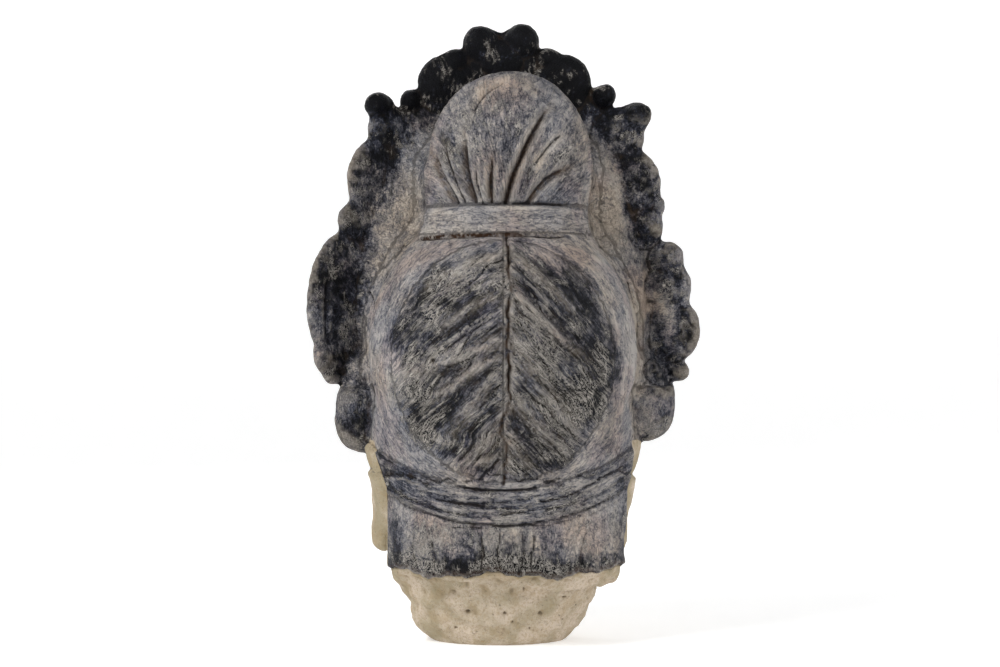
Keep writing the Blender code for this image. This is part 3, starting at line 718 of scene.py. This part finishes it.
def neck_carving(x, z):
    folds = (13.6, 10.4)
    return -0.35 * sum(bell(z - height - 0.012 * x * x, 0.4) for height in folds)


def scroll_carving(x, z):
    """An eye, a ring and a curl on each large lobe, and the medallion, rosettes and band."""
    lift = np.zeros(len(x))
    for mid_x, mid_z, wide, tall, _ in LOBES:
        if min(wide, tall) < SMALLEST_SCROLL:
            continue
        across, up = (x - mid_x) / wide, (z - mid_z) / tall
        reach = np.hypot(across, up)
        lift += 0.8 * bell(reach, 0.3) - 0.7 * bell(reach - 0.58, 0.7 / (wide + tall))
        curl = np.arctan2(up, across * np.sign(mid_x + 0.1)) + 2.2 * reach
        lift -= 0.35 * bell(np.sin(1.5 * curl), 0.22) * between(reach, 0.66, 0.96, 0.05)
    mid_x, mid_z, wide, tall = MEDALLION
    reach = oval_reach(x, z, *MEDALLION)
    rays = np.arctan2((z - mid_z) / tall, (x - mid_x) / wide)
    lift -= 0.7 * bell(reach - 0.72, 0.07)
    lift -= 0.3 * bell(np.sin(9 * rays), 0.3) * between(reach, 0.78, 0.98, 0.04)
    lift += 0.5 * bell(np.sin(1.5 * rays + 0.8), 0.55) * between(reach, 1.12, 1.5, 0.1)
    mid_x, mid_z, size = ROSETTE
    across, up = np.abs(x) - mid_x, z - mid_z
    reach = np.hypot(across, up) / size
    petals = bell(np.sin(3 * np.arctan2(up, across)), 0.4) * between(reach, 0.5, 1, 0.08)
    lift -= 0.6 * bell(reach - 0.45, 0.1) + 0.7 * petals
    rim = np.abs(z - BEAD_HEIGHT)
    band = BAND_LIFT * fall(rim, BAND_HALF - BAND_SOFT, BAND_HALF + BAND_SOFT)
    band += 0.35 * bell(rim - BAND_HALF + 0.5, 0.35)
    lift += band * fall(np.abs(x), *BAND_ENDS)
    return lift


def lobe_reach(x, z):
    """How far each point lies from the nearest lobe's middle, as a share of that lobe."""
    reach = np.full(len(x), FAR)
    for *oval, _ in LOBES:
        reach = np.minimum(reach, oval_reach(x, z, *oval))
    return reach


def lumps(points, pitch, offset=0):
    """Smooth random values, one for each point, with lumps of the given size."""
    shift = Vector((offset, 2 * offset, -offset))
    return np.array([noise.noise(Vector(place) / pitch + shift) for place in points])


def pits(points, count, dice):
    """Small holes in the bare clay of the stump."""
    lift = np.zeros(len(points))
    for _ in range(count):
        angle, height = dice.uniform(-math.pi, math.pi), dice.uniform(1.5, 10.5)
        size, depth = dice.uniform(0.16, 0.42), dice.uniform(0.25, 0.7)
        reach = 13.6 + 0.24 * (height - 5)
        centre = np.array((reach * math.sin(angle), 1.6 + 0.9 * reach * math.cos(angle), height))
        near = np.flatnonzero((np.abs(points - centre) < 2.5).all(axis=1))
        gap = length((points[near] - centre) * (1, 0.35, 1))
        lift[near] -= depth * bell(gap, size)
    for hole_x, hole_z in STUMP_HOLES:
        gap = np.hypot(points[:, 0] - hole_x, 1.3 * (points[:, 2] - hole_z))
        lift -= 0.8 * bell(gap, 0.4) * fade(points[:, 1], 0, 3)
    return lift


def carve(mesh):
    """Lifts or lowers each point of the skin along its normal."""
    dice = np.random.default_rng(SEED)
    points = points_of(mesh).astype(float)
    normals = normals_of(mesh).astype(float)
    x, y, z = points.T
    sheet = y - crown_depth(x, z)
    back = normals[:, 1]
    faces_back = fade(back, -0.05, 0.35) * fade(y, -6, 0)
    faces_front = fade(-back, 0.05, 0.4)
    before_sheet = fade(-sheet, 0.2, 1) * fade(z, 33, 36)
    outward = fade(np.hypot(normals[:, 0], back), 0.2, 0.5)
    bare = fade(z, 0.5, 3) * fall(z, hem_height(x) - 1, hem_height(x))

    uneven = lumps(points, 4.5, 7)
    lift = faces_back * (topknot_carving(x, z) + tie_carving(x, z) + hair_carving(x, z, uneven, dice)
                         + nape_carving(x, z, dice))
    lift += fade(back, -0.2, 0.1) * grooves(x, z, VALLEY_CRACKS)
    lift += fade(back, 0, 0.3) * fade(sheet, 0, 1) * grooves(x, z, WING_CREASE)
    reach = lobe_reach(x, z)
    domes = 0.5 * fall(reach, 0.2, 1.05) - 0.35 * bell(reach - 1.08, 0.12)
    lift += fade(back, 0.1, 0.5) * fade(sheet, 0.3, 1.3) * domes
    lift += skirt_carving(x, y, z)
    beside = bell(np.abs(x) - ear_edge(x, z), 0.4) * between(z, 13, 31, 1)
    lift -= 0.5 * beside * fade(y, -3, -1)
    lift += faces_front * fade(-y, 8, 12) * face_carving(x, z)
    lift += outward * fade(-y, -2, 3) * fringe_carving(x, z)
    lift += faces_front * fade(-y, 4, 8) * neck_carving(x, z)
    lift += faces_front * before_sheet * scroll_carving(x, z)
    lift += pits(points, STUMP_PITS, dice) * bare
    smooth_face = 1 - 0.8 * faces_front * fade(-y, 8, 12) * fall(z, 46, 49) * fade(z, 14, 17)
    lift += (0.12 + 0.8 * bare) * lumps(points, 6.2) + 0.6 * bare * lumps(points, 1.8)
    lift += (0.14 * lumps(points, 1.9, 3) + 0.08 * lumps(points, 0.8, 5)) * smooth_face
    move_points(mesh, points + lift[:, None] * normals)
    return points, lift


def edges_of(mesh):
    return read(mesh.edges, "vertices", 2, np.int32).T


def carved_share(mesh, points, lift):
    """How steeply the carving rises at each point, from 0 on plain skin to 1."""
    a, b = edges_of(mesh)
    slope = np.abs(lift[a] - lift[b]) / np.maximum(length(points[a] - points[b]), 1e-6)
    steepest = np.zeros(len(points))
    np.maximum.at(steepest, a, slope)
    np.maximum.at(steepest, b, slope)
    return fade(steepest, 0.1, STEEP)


def thin_out(obj, keep):
    """Fewer, larger faces, above all where the form is plain."""
    triangles = sum(len(face.vertices) - 2 for face in obj.data.polygons)
    if triangles <= TRIANGLES:
        return
    group = obj.vertex_groups.new(name="carved")
    levels = np.round(keep * KEEP_LEVELS).astype(int)
    for level in range(1, KEEP_LEVELS + 1):
        group.add(np.flatnonzero(levels == level).tolist(), MOST_KEPT * level / KEEP_LEVELS, "REPLACE")
    facets = obj.modifiers.new("Facets", "DECIMATE")
    facets.ratio = TRIANGLES / triangles
    facets.vertex_group = group.name
    facets.invert_vertex_group = True
    facets.vertex_group_factor = KEEP_FACTOR
    apply_modifiers(obj)
    obj.vertex_groups.clear()


def cut_flat(mesh):
    """Cuts the neck off at the ground and closes it."""
    bm = bmesh.new()
    bm.from_mesh(mesh)
    cut = bmesh.ops.bisect_plane(bm, geom=bm.verts[:] + bm.edges[:] + bm.faces[:], plane_co=(0, 0, 0),
                                 plane_no=(0, 0, -1), dist=UNIT / 1000, clear_outer=True)
    rim = [item for item in cut["geom_cut"] if isinstance(item, bmesh.types.BMEdge)]
    bmesh.ops.triangle_fill(bm, edges=rim, use_beauty=True, use_dissolve=False)
    bmesh.ops.recalc_face_normals(bm, faces=bm.faces[:])
    bm.to_mesh(mesh)
    bm.free()


def averaged(mesh, values, rounds):
    """The values, evened out over neighbouring points."""
    a, b = edges_of(mesh)
    count = np.bincount(a, minlength=len(values)) + np.bincount(b, minlength=len(values))
    for _ in range(rounds):
        total = np.bincount(a, values[b], len(values)) + np.bincount(b, values[a], len(values))
        values = 0.5 * values + 0.5 * total / np.maximum(count, 1)
    return values


def hollowness(mesh, rounds):
    """How far each point lies under the evened-out skin: above 0 in grooves, below on ridges."""
    points, normals = points_of(mesh), normals_of(mesh)
    smooth = np.stack([averaged(mesh, points[:, axis].astype(float), rounds) for axis in range(3)], 1)
    return np.einsum("ij,ij->i", smooth - points, normals)


def hand_tones(x, z, table):
    """The sum of soft spots, each with its place, size and strength."""
    return sum(strength * bell(oval_reach(x, z, *oval), 1) for *oval, strength in table)


def ear_edge(x, z):
    """How far out the skirt ends and the ear behind it shows, on each side."""
    return np.where(x > 0, EAR_EDGES[0], EAR_EDGES[1]) + 0.4 * np.maximum(z - 24.5, 0)


def bare_clay(points, lobe, crown):
    """The stump, the ears, the face and the front of the neck, which weren't painted."""
    x, y, z = points.T
    face = fall(above_hairline(x, z), -0.5, 0.1) * fade(-y, 2.5, 5)
    lobes = fall(lobe, 0.35, 0.9) * fade(-y, -1.5, 0.5)
    front = np.maximum(fade(np.abs(x) - ear_edge(x, z), -0.2, 0.2), fall(y, 2.5, 4))
    front *= fall(z, 31.2, 32)
    stump = fall(z - hem_height(x), -0.35, 0.1)
    return np.maximum(stump, np.maximum.reduce((face, lobes, front)) * (1 - crown))


def brush_direction(points, head):
    """Across and along the brush at each point, and a number for each zone."""
    x, y, z = points.T
    strand, away = strand_phase(x, z)
    flow = np.stack([strand, away, np.where(x > 0, 9, -9)], 1)
    on_head, low, aside = head < 2.5, z - NAPE_SAG * x * x, x - KNOT_MIDDLE
    oval, turn = np.hypot(x / HAIR_HALF, (z - HAIR_MIDDLE) / 20), np.arctan2(x, HAIR_MIDDLE - z)
    zones = (
        (oval > 0.93, (18 * oval, 18 * turn, 5)),
        ((z > 69) & on_head, (14 * np.arctan2(aside, z - 64), np.hypot(aside, z - 64), 20)),
        ((np.abs(z - TIE_MIDDLE) < TIE_HALF) & on_head, (z, x, 30)),
        (low < 24.8, (low, x, 40)),
        (low < 19.2, (x, 2.2 * z, 50)),
        (~on_head & (z > 30), (x + 0.5 * y, 3 * z, 60)),
        ((y < -2) & on_head, (x, 3 * z, 3 * y)),
        ((y < 0) & (z < 40), (x, 3 * z, 3 * y)),
    )
    for inside, brush in zones:
        flow[inside] = np.stack([axis + np.zeros(len(x)) for axis in brush], 1)[inside]
    return flow


def paint_plan(mesh):
    """Stores how each point is painted, painted shade in the creases included, and which way the brush
    went there.
    """
    points, normals = points_of(mesh).astype(float), normals_of(mesh).astype(float)
    x, y, z = points.T
    masses = (head_forms()[:4] + topknot_forms()[:2], face_forms(), ear_forms()[-2:], clump_forms(1.5))
    head, face, lobe, clump = [skin_distance(points.astype(np.float32), forms) for forms in masses]
    sheet = y - crown_depth(x, z)
    seen = fade(normals[:, 1], -0.1, 0.3)
    behind = seen * fade(y, -8, -4)
    low = z - NAPE_SAG * x * x
    over_brow = above_hairline(x, z)

    before = fade(-sheet, -1, 0.5) * fade(over_brow, 6, 7.5)
    fillet = 1 + 4.4 * bell(z - 70.5, 9)
    crown = np.maximum(fade(np.minimum(head, face) - fillet, 0, 3) * fade(z, 40, 42), before)
    crown = np.maximum(crown, fall(clump, 0.3, 1.2))
    bare = bare_clay(points, lobe, crown)
    oval = np.hypot((x + 0.2) / HAIR_HALF, (z - HAIR_MIDDLE) / 19.6) + 0.16 * lumps(points, 5, 2)
    hair = fall(oval, 0.82, 1) * behind * fall(z, 62, 64.4) * fade(low, 24, 25)
    knot = fade(z, 68.6, 69.4) * fall(head, 0.8, 2) * behind
    at_back, above_hem = fade(y, -4, -1), z - hem_height(x)
    nape = between(low, 18.8, 24.8, 0.6) * at_back
    skirt = between(above_hem, 0, 8, 0.3) * at_back * (1 - nape)
    at_hem = between(above_hem, 0, 2.2, 1.4) * at_back
    fringe = fade(-y, 2, 5) * between(over_brow, 0, 7.5, 0.4) * fall(np.abs(x), 17.5, 19.5)
    edge_of_knot = bell(np.hypot((x - KNOT_MIDDLE) / 13, (z - 74) / 14.5) - 1, 0.1) * knot
    on_top = np.maximum(fade(z, 82, 87) * seen, 0.6 * (1 - seen))
    black = 0.58 + 0.4 * on_top - (0.34 - 0.34 * on_top) * fade(lobe_reach(x, z), 0.6, 1.3)
    dark = 0.2 + black * crown + 0.56 * hair + 0.2 * knot + 0.22 * nape + 0.13 * skirt
    dark += 0.66 * at_hem + 0.5 * fringe - 0.12 * edge_of_knot + hand_tones(x, z, TONES) * seen
    rub = 0.1 + 0.3 * hair + 0.14 * knot + 0.25 * nape + 0.4 * at_hem + 0.15 * skirt
    rub += (0.1 * crown + hand_tones(x, z, RUBBED)) * seen
    from_parting = x - parting_place(z)
    under_tie = z - TIE_MIDDLE + TIE_SAG * x * x + TIE_HALF + TIE_CUT
    wash = np.maximum.reduce((
        near_strokes(x, z, PALE_LOCKS) * fade(hair, 0.3, 1),
        0.9 * near_strokes(x, z, TOPKNOT_STROKES, 0.75) * knot, 0.9 * bell(from_parting, 1.2) * hair,
    ))
    # Painted shade: dark lines in the parting, in the topknot's folds, in the cut under the tie and
    # along the hem's edge.
    crease_shade = np.maximum.reduce((
        bell(from_parting, 0.3) * between(z, PARTING_FOOT, PARTING_TOP, 0.6) * behind,
        near_strokes(x, z, TOPKNOT_STROKES[:5], 0.42) * knot,
        1.8 * bell(under_tie, 0.3) * between(x, -3, 13.2, 1.6) * behind,
        0.9 * bell(above_hem - 0.35, 0.26) * at_back * (1 - bare),
    ))
    fine, broad = hollowness(mesh, 3), hollowness(mesh, 14)

    plan = {
        "dark": np.clip(dark, 0, THICKEST), "rub": np.clip(rub, 0, 1), "bare": bare, "crown": crown,
        "wash": wash, "crease_shade": crease_shade, "groove": np.clip(fine / FULL_GROOVE, -1, 1),
        "recess": np.clip(broad / FULL_RECESS, -1, 1), "flow": brush_direction(points, head),
    }
    for name, values in plan.items():
        kind, field = ("FLOAT_VECTOR", "vector") if values.ndim == 2 else ("FLOAT", "value")
        data = mesh.attributes.new(name, kind, "POINT").data
        data.foreach_set(field, values.astype(np.float32).ravel())


def tone(red, green, blue):
    """A colour as it looks on a screen, in steps of 255, as the shader takes it."""
    return tuple((step / 255) ** 2.2 for step in (red, green, blue)) + (1.0,)


# The paint from its thinnest, which lets the clay through, to its thickest.
PAINT = ((0, (172, 164, 155)), (0.2, (142, 137, 134)), (0.4, (104, 103, 107)),
         (0.62, (60, 61, 69)), (0.8, (33, 35, 43)), (1, (10, 11, 17)))
WARM = tone(255, 247, 236)
COOL = tone(240, 246, 255)
ROSE = tone(255, 246, 246)
TAN = tone(156, 145, 130)
OCHRE = tone(128, 104, 76)
UMBER = tone(62, 45, 33)
GROOVE_SHADE = tone(24, 22, 24)
SCRATCH = tone(176, 170, 162)
CREAM = tone(156, 145, 121)
CREAM_PALE = tone(196, 181, 163)
STAIN_AND_HOLLOW_SHADE = tone(150, 130, 96)
SPECK_AND_GROOVE_SHADE = tone(92, 82, 72)


class Shader:
    """Builds the nodes of one material, one call a node."""

    def __init__(self, name):
        self.material = bpy.data.materials.new(name)
        self.material.use_nodes = True
        self.tree = self.material.node_tree
        self.skin = self.tree.nodes["Principled BSDF"]

    def put(self, value, socket):
        if isinstance(value, bpy.types.NodeSocket):
            self.tree.links.new(value, socket)
        else:
            socket.default_value = value

    def node(self, kind, inputs, output=0, **settings):
        """One node with its settings and inputs. Returns the output that is asked for."""
        node = self.tree.nodes.new("ShaderNode" + kind)
        for name, value in settings.items():
            setattr(node, name, value)
        for name, value in inputs.items():
            self.put(value, node.inputs[name])
        return node.outputs[output]

    def finish(self, inputs):
        for name, value in inputs.items():
            self.put(value, self.skin.inputs[name])
        return self.material

    def attribute(self, name, kind="Fac"):
        return self.node("Attribute", {}, kind, attribute_name=name)

    def math(self, operation, *values):
        return self.node("Math", dict(enumerate(values)), operation=operation)

    def stretch(self, vector, factors):
        return self.node("VectorMath", {0: vector, 1: factors}, operation="MULTIPLY")

    def noise(self, vector, scale, detail, distortion=0):
        inputs = {"Vector": vector, "Scale": scale, "Detail": detail, "Distortion": distortion}
        return self.node("TexNoise", inputs, "Fac")

    def ramp(self, value, low, high):
        """0 below low, 1 above high and smooth between. It falls where low is the higher."""
        turned = low > high
        inputs = {"Value": value, "From Min": min(low, high), "From Max": max(low, high),
                  "To Min": float(turned), "To Max": float(not turned)}
        return self.node("MapRange", inputs, "Result", interpolation_type="SMOOTHSTEP")

    def scale_of_tones(self, value, stops):
        colour = self.node("ValToRGB", {"Fac": value}, "Color")
        elements = colour.node.color_ramp.elements
        while len(elements) < len(stops):
            elements.new(0.5)
        for element, (place, steps) in zip(elements, stops):
            element.position = place
            element.color = tone(*steps)
        return colour

    def lines(self, vector, scale, width, detail, distortion):
        """Thin curling lines, where a noise passes its middle value."""
        value = self.noise(vector, scale, detail, distortion)
        return self.ramp(self.math("ABSOLUTE", self.math("SUBTRACT", value, 0.5)), width, 0.2 * width)

    def mix(self, share, below, above, blend="MIX"):
        inputs = {"Factor": share, "A": below, "B": above}
        return self.node("Mix", inputs, "Result", data_type="RGBA", blend_type=blend)

    def times(self, *values):
        return reduce(partial(self.math, "MULTIPLY"), values)

    def plus(self, *values):
        return reduce(partial(self.math, "ADD"), values)

    def swing(self, value, factor):
        """A noise turned into a push up or down of about the given strength."""
        return self.math("MULTIPLY_ADD", value, factor, -0.5 * factor)


def painted_clay():
    s = Shader("painted_clay")
    ramp, times, plus, mix, swing = s.ramp, s.times, s.plus, s.mix, s.swing
    place = s.stretch(s.node("TexCoord", {}, "Object"), (1 / UNIT,) * 3)
    flow = s.attribute("flow", "Vector")
    dark, rub, bare, wash = map(s.attribute, ("dark", "rub", "bare", "wash"))
    groove, recess, crown, crease_shade = map(s.attribute, ("groove", "recess", "crown", "crease_shade"))

    broad = s.noise(place, 0.09, 3)
    other = s.noise(s.stretch(place, (1, 1.2, -1.1)), 0.13, 3)
    patch = s.noise(place, 0.36, 4, 0.3)
    mottle = s.noise(place, 0.25, 5, 0.2)
    blotch = s.noise(place, 1, 4, 0.5)
    grain = s.noise(place, 2.7, 4, 0.6)
    streak = s.noise(s.stretch(flow, (1.5, 0.22, 1)), 1, 5, 0.4)
    sweep = s.noise(s.stretch(flow, (0.42, 0.09, 1)), 1, 3, 0.5)
    strands = s.noise(s.stretch(flow, (2.6, 0.42, 1)), 1, 4, 0.8)
    fine_lines = s.lines(s.stretch(flow, (1.3, 0.42, 1)), 1, 0.056, 3, 1.5)
    worms = s.lines(place, 1.25, 0.05, 3, 1.8)

    # The cover of dark paint. Streaks and rubbed places thin it, and so do raised edges; in grooves it
    # is laid thicker, as painted shade.
    wash = times(wash, ramp(blotch, 0.3, 0.6))
    rubbed = s.noise(s.stretch(place, (-1, 1, 1)), 0.24, 4, 0.4)
    patches = ramp(plus(swing(rubbed, 2.6), swing(streak, 1.6), rub), 0.32, 0.75)
    dark_lines = s.lines(s.stretch(flow, (1.5, 0.45, 1.5)), 1, 0.045, 3, 1.2)
    scratches = times(s.math("MAXIMUM", fine_lines, worms), patches)
    unrest = s.math("MULTIPLY_ADD", ramp(dark, 0.15, 0.6), 0.5, 0.6)
    brushwork = plus(swing(patch, 0.6), swing(blotch, 0.6), swing(streak, 0.7), swing(strands, 0.7),
                     swing(grain, 0.85))
    cover = plus(dark, times(brushwork, unrest), times(wash, -0.46), times(rub, swing(sweep, 2.4)),
                 times(groove, 0.1), times(dark_lines, 0.2), times(crown, swing(mottle, 1.5)))
    paint = s.scale_of_tones(cover, PAINT)
    for value, low, high, tint in (
        (broad, 0.45, 0.62, WARM), (broad, 0.5, 0.36, COOL), (other, 0.48, 0.62, ROSE),
    ):
        paint = mix(times(ramp(value, low, high), 0.8), paint, tint, "MULTIPLY")
    paint = mix(times(wash, 0.45), paint, TAN)
    worn = times(ramp(recess, -0.25, -0.9), ramp(dark, 0.9, 0.75), crown, ramp(mottle, 0.42, 0.58))
    paint = mix(times(worn, 0.5), paint, TAN)
    raised = times(ramp(groove, -0.12, -0.6), ramp(grain, 0.38, 0.58), plus(rub, 0.2),
                   ramp(dark, 1, 0.7))
    paint = mix(s.math("MAXIMUM", times(scratches, 0.85), times(raised, 0.8)), paint, SCRATCH)
    paint = mix(times(ramp(recess, 0.12, 0.7), ramp(patch, 0.4, 0.65), 0.2), paint, OCHRE)
    # Painted shade: near black deep in the grooves.
    paint = mix(times(ramp(groove, 0.22, 0.85), 0.8), paint, GROOVE_SHADE)
    # Painted shade in the creases: umber along the parting, the topknot's folds, under the tie and at
    # the hem.
    paint = mix(times(crease_shade, ramp(blotch, 0.3, 0.55), 0.85), paint, UMBER)

    # Bare clay below the hem, on the ears and on the face.
    clay = mix(ramp(plus(mottle, times(dark, -0.5)), 0.18, 0.6), CREAM, CREAM_PALE)
    cracks = times(s.lines(place, 0.8, 0.014, 4, 1.4), ramp(blotch, 0.42, 0.56))
    specks = ramp(s.noise(place, 2.2, 4, 0.5), 0.6, 0.72)
    # Stains, cracks and specks in the clay; the recess and groove entries darken the hollows, creases
    # and pits as painted shade.
    for share, strength, tint in (
        (ramp(patch, 0.5, 0.62), 0.35, STAIN_AND_HOLLOW_SHADE), (cracks, 0.5, SPECK_AND_GROOVE_SHADE), (specks, 0.45, SPECK_AND_GROOVE_SHADE),
        (ramp(grain, 0.48, 0.64), 0.4, STAIN_AND_HOLLOW_SHADE), (ramp(recess, 0.15, 0.8), 0.5, STAIN_AND_HOLLOW_SHADE),
        (ramp(groove, 0.3, 1), 0.75, SPECK_AND_GROOVE_SHADE),
    ):
        clay = mix(times(share, strength), clay, tint)
    edge = plus(bare, swing(blotch, 0.5))
    colour = mix(ramp(edge, 0.42, 0.58), paint, clay)

    brushed_marks = plus(times(streak, 0.6), times(strands, 0.7), times(scratches, 0.4),
                         times(dark_lines, -0.4))
    painted = ramp(edge, 0.58, 0.42)
    height = plus(times(grain, 0.9), times(blotch, 0.6), times(brushed_marks, painted))
    return s.finish({
        "Base Color": colour,
        "Roughness": s.math("MULTIPLY_ADD", ramp(cover, 0.3, 0.9), -0.3, 0.88),
        "Specular IOR Level": 0.16,
        "Normal": s.node("Bump", {"Strength": 1, "Distance": BUMP_DEPTH, "Height": height}, "Normal"),
    })


def make_head():
    forms = all_forms()
    head = new_object("painted_head", pressed_together(forms))
    for voxel, rounds in ((ROUGH_VOXEL, 3), (SKIN_VOXEL, 2)):
        remesh(head, voxel * UNIT)
        settle(head, forms, rounds)
    points, lift = carve(head.data)
    thin_out(head, carved_share(head.data, points, lift))
    cut_flat(head.data)
    head.data.shade_smooth()
    paint_plan(head.data)
    head.data.materials.append(painted_clay())
    return head


def pale_backdrop():
    """White paper that shines a little, so that it stays white behind the head."""
    return Shader("pale_backdrop").finish({
        "Base Color": (0.85, 0.85, 0.85, 1), "Roughness": 0.95,
        "Emission Color": (1, 1, 1, 1), "Emission Strength": PAPER_GLOW,
    })


def make_backdrop():
    """A round pale floor that turns up into a wall all round, with no edge to be seen."""
    flat, radius, tall, steps = 2.4, 1.2, 4, 72
    turns = [step * math.pi / 24 for step in range(13)]
    profile = [(flat + radius * math.sin(turn), radius - radius * math.cos(turn)) for turn in turns]
    profile.append((flat + radius, tall))
    spokes = [Matrix.Rotation(2 * math.pi * step / steps, 3, "Z") for step in range(steps)]
    bm = bmesh.new()
    rings = [[bm.verts.new(spoke @ Vector((reach, 0, z))) for spoke in spokes] for reach, z in profile]
    bm.faces.new(rings[0])
    for inner, outer in zip(rings, rings[1:]):
        for place in range(steps):
            bm.faces.new((inner[place - 1], inner[place], outer[place], outer[place - 1]))
    bmesh.ops.recalc_face_normals(bm, faces=bm.faces[:])
    backdrop = new_object("backdrop", mesh_from(bm, "backdrop"))
    backdrop.data.shade_smooth()
    backdrop.data.materials.append(pale_backdrop())


def aim(obj, target):
    obj.rotation_mode = "QUATERNION"
    obj.rotation_quaternion = (Vector(target) - obj.location).to_track_quat("-Z", "Y")


def make_lights():
    world = bpy.data.worlds.new("studio")
    world.use_nodes = True
    sky = world.node_tree.nodes["Background"].inputs
    sky["Color"].default_value = (1, 1, 1, 1)
    sky["Strength"].default_value = WORLD_LIGHT
    bpy.context.scene.world = world
    for name, place, size, power in LAMPS:
        lamp = bpy.data.lights.new(name, "AREA")
        lamp.size = size
        lamp.energy = power
        light = new_object(name, lamp)
        light.location = place
        aim(light, LAMPS_AIM)


def make_camera():
    """Level with the middle of the head, behind it, where the photograph was taken."""
    data = bpy.data.cameras.new("camera")
    data.sensor_width = SENSOR
    data.lens = SENSOR * PIXELS_PER_UNIT * CAMERA_AWAY / PHOTO_WIDTH
    camera = new_object("camera", data)
    camera.location = (CAMERA_ASIDE * UNIT, CAMERA_AWAY * UNIT, CAMERA_UP * UNIT)
    aim(camera, (CAMERA_ASIDE * UNIT, 0, CAMERA_UP * UNIT))
    bpy.context.scene.camera = camera


head = make_head()
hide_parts("buddha_head")
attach(head, "root")
make_backdrop()
make_lights()
make_camera()

bpy.context.scene.view_settings.view_transform = "Standard"
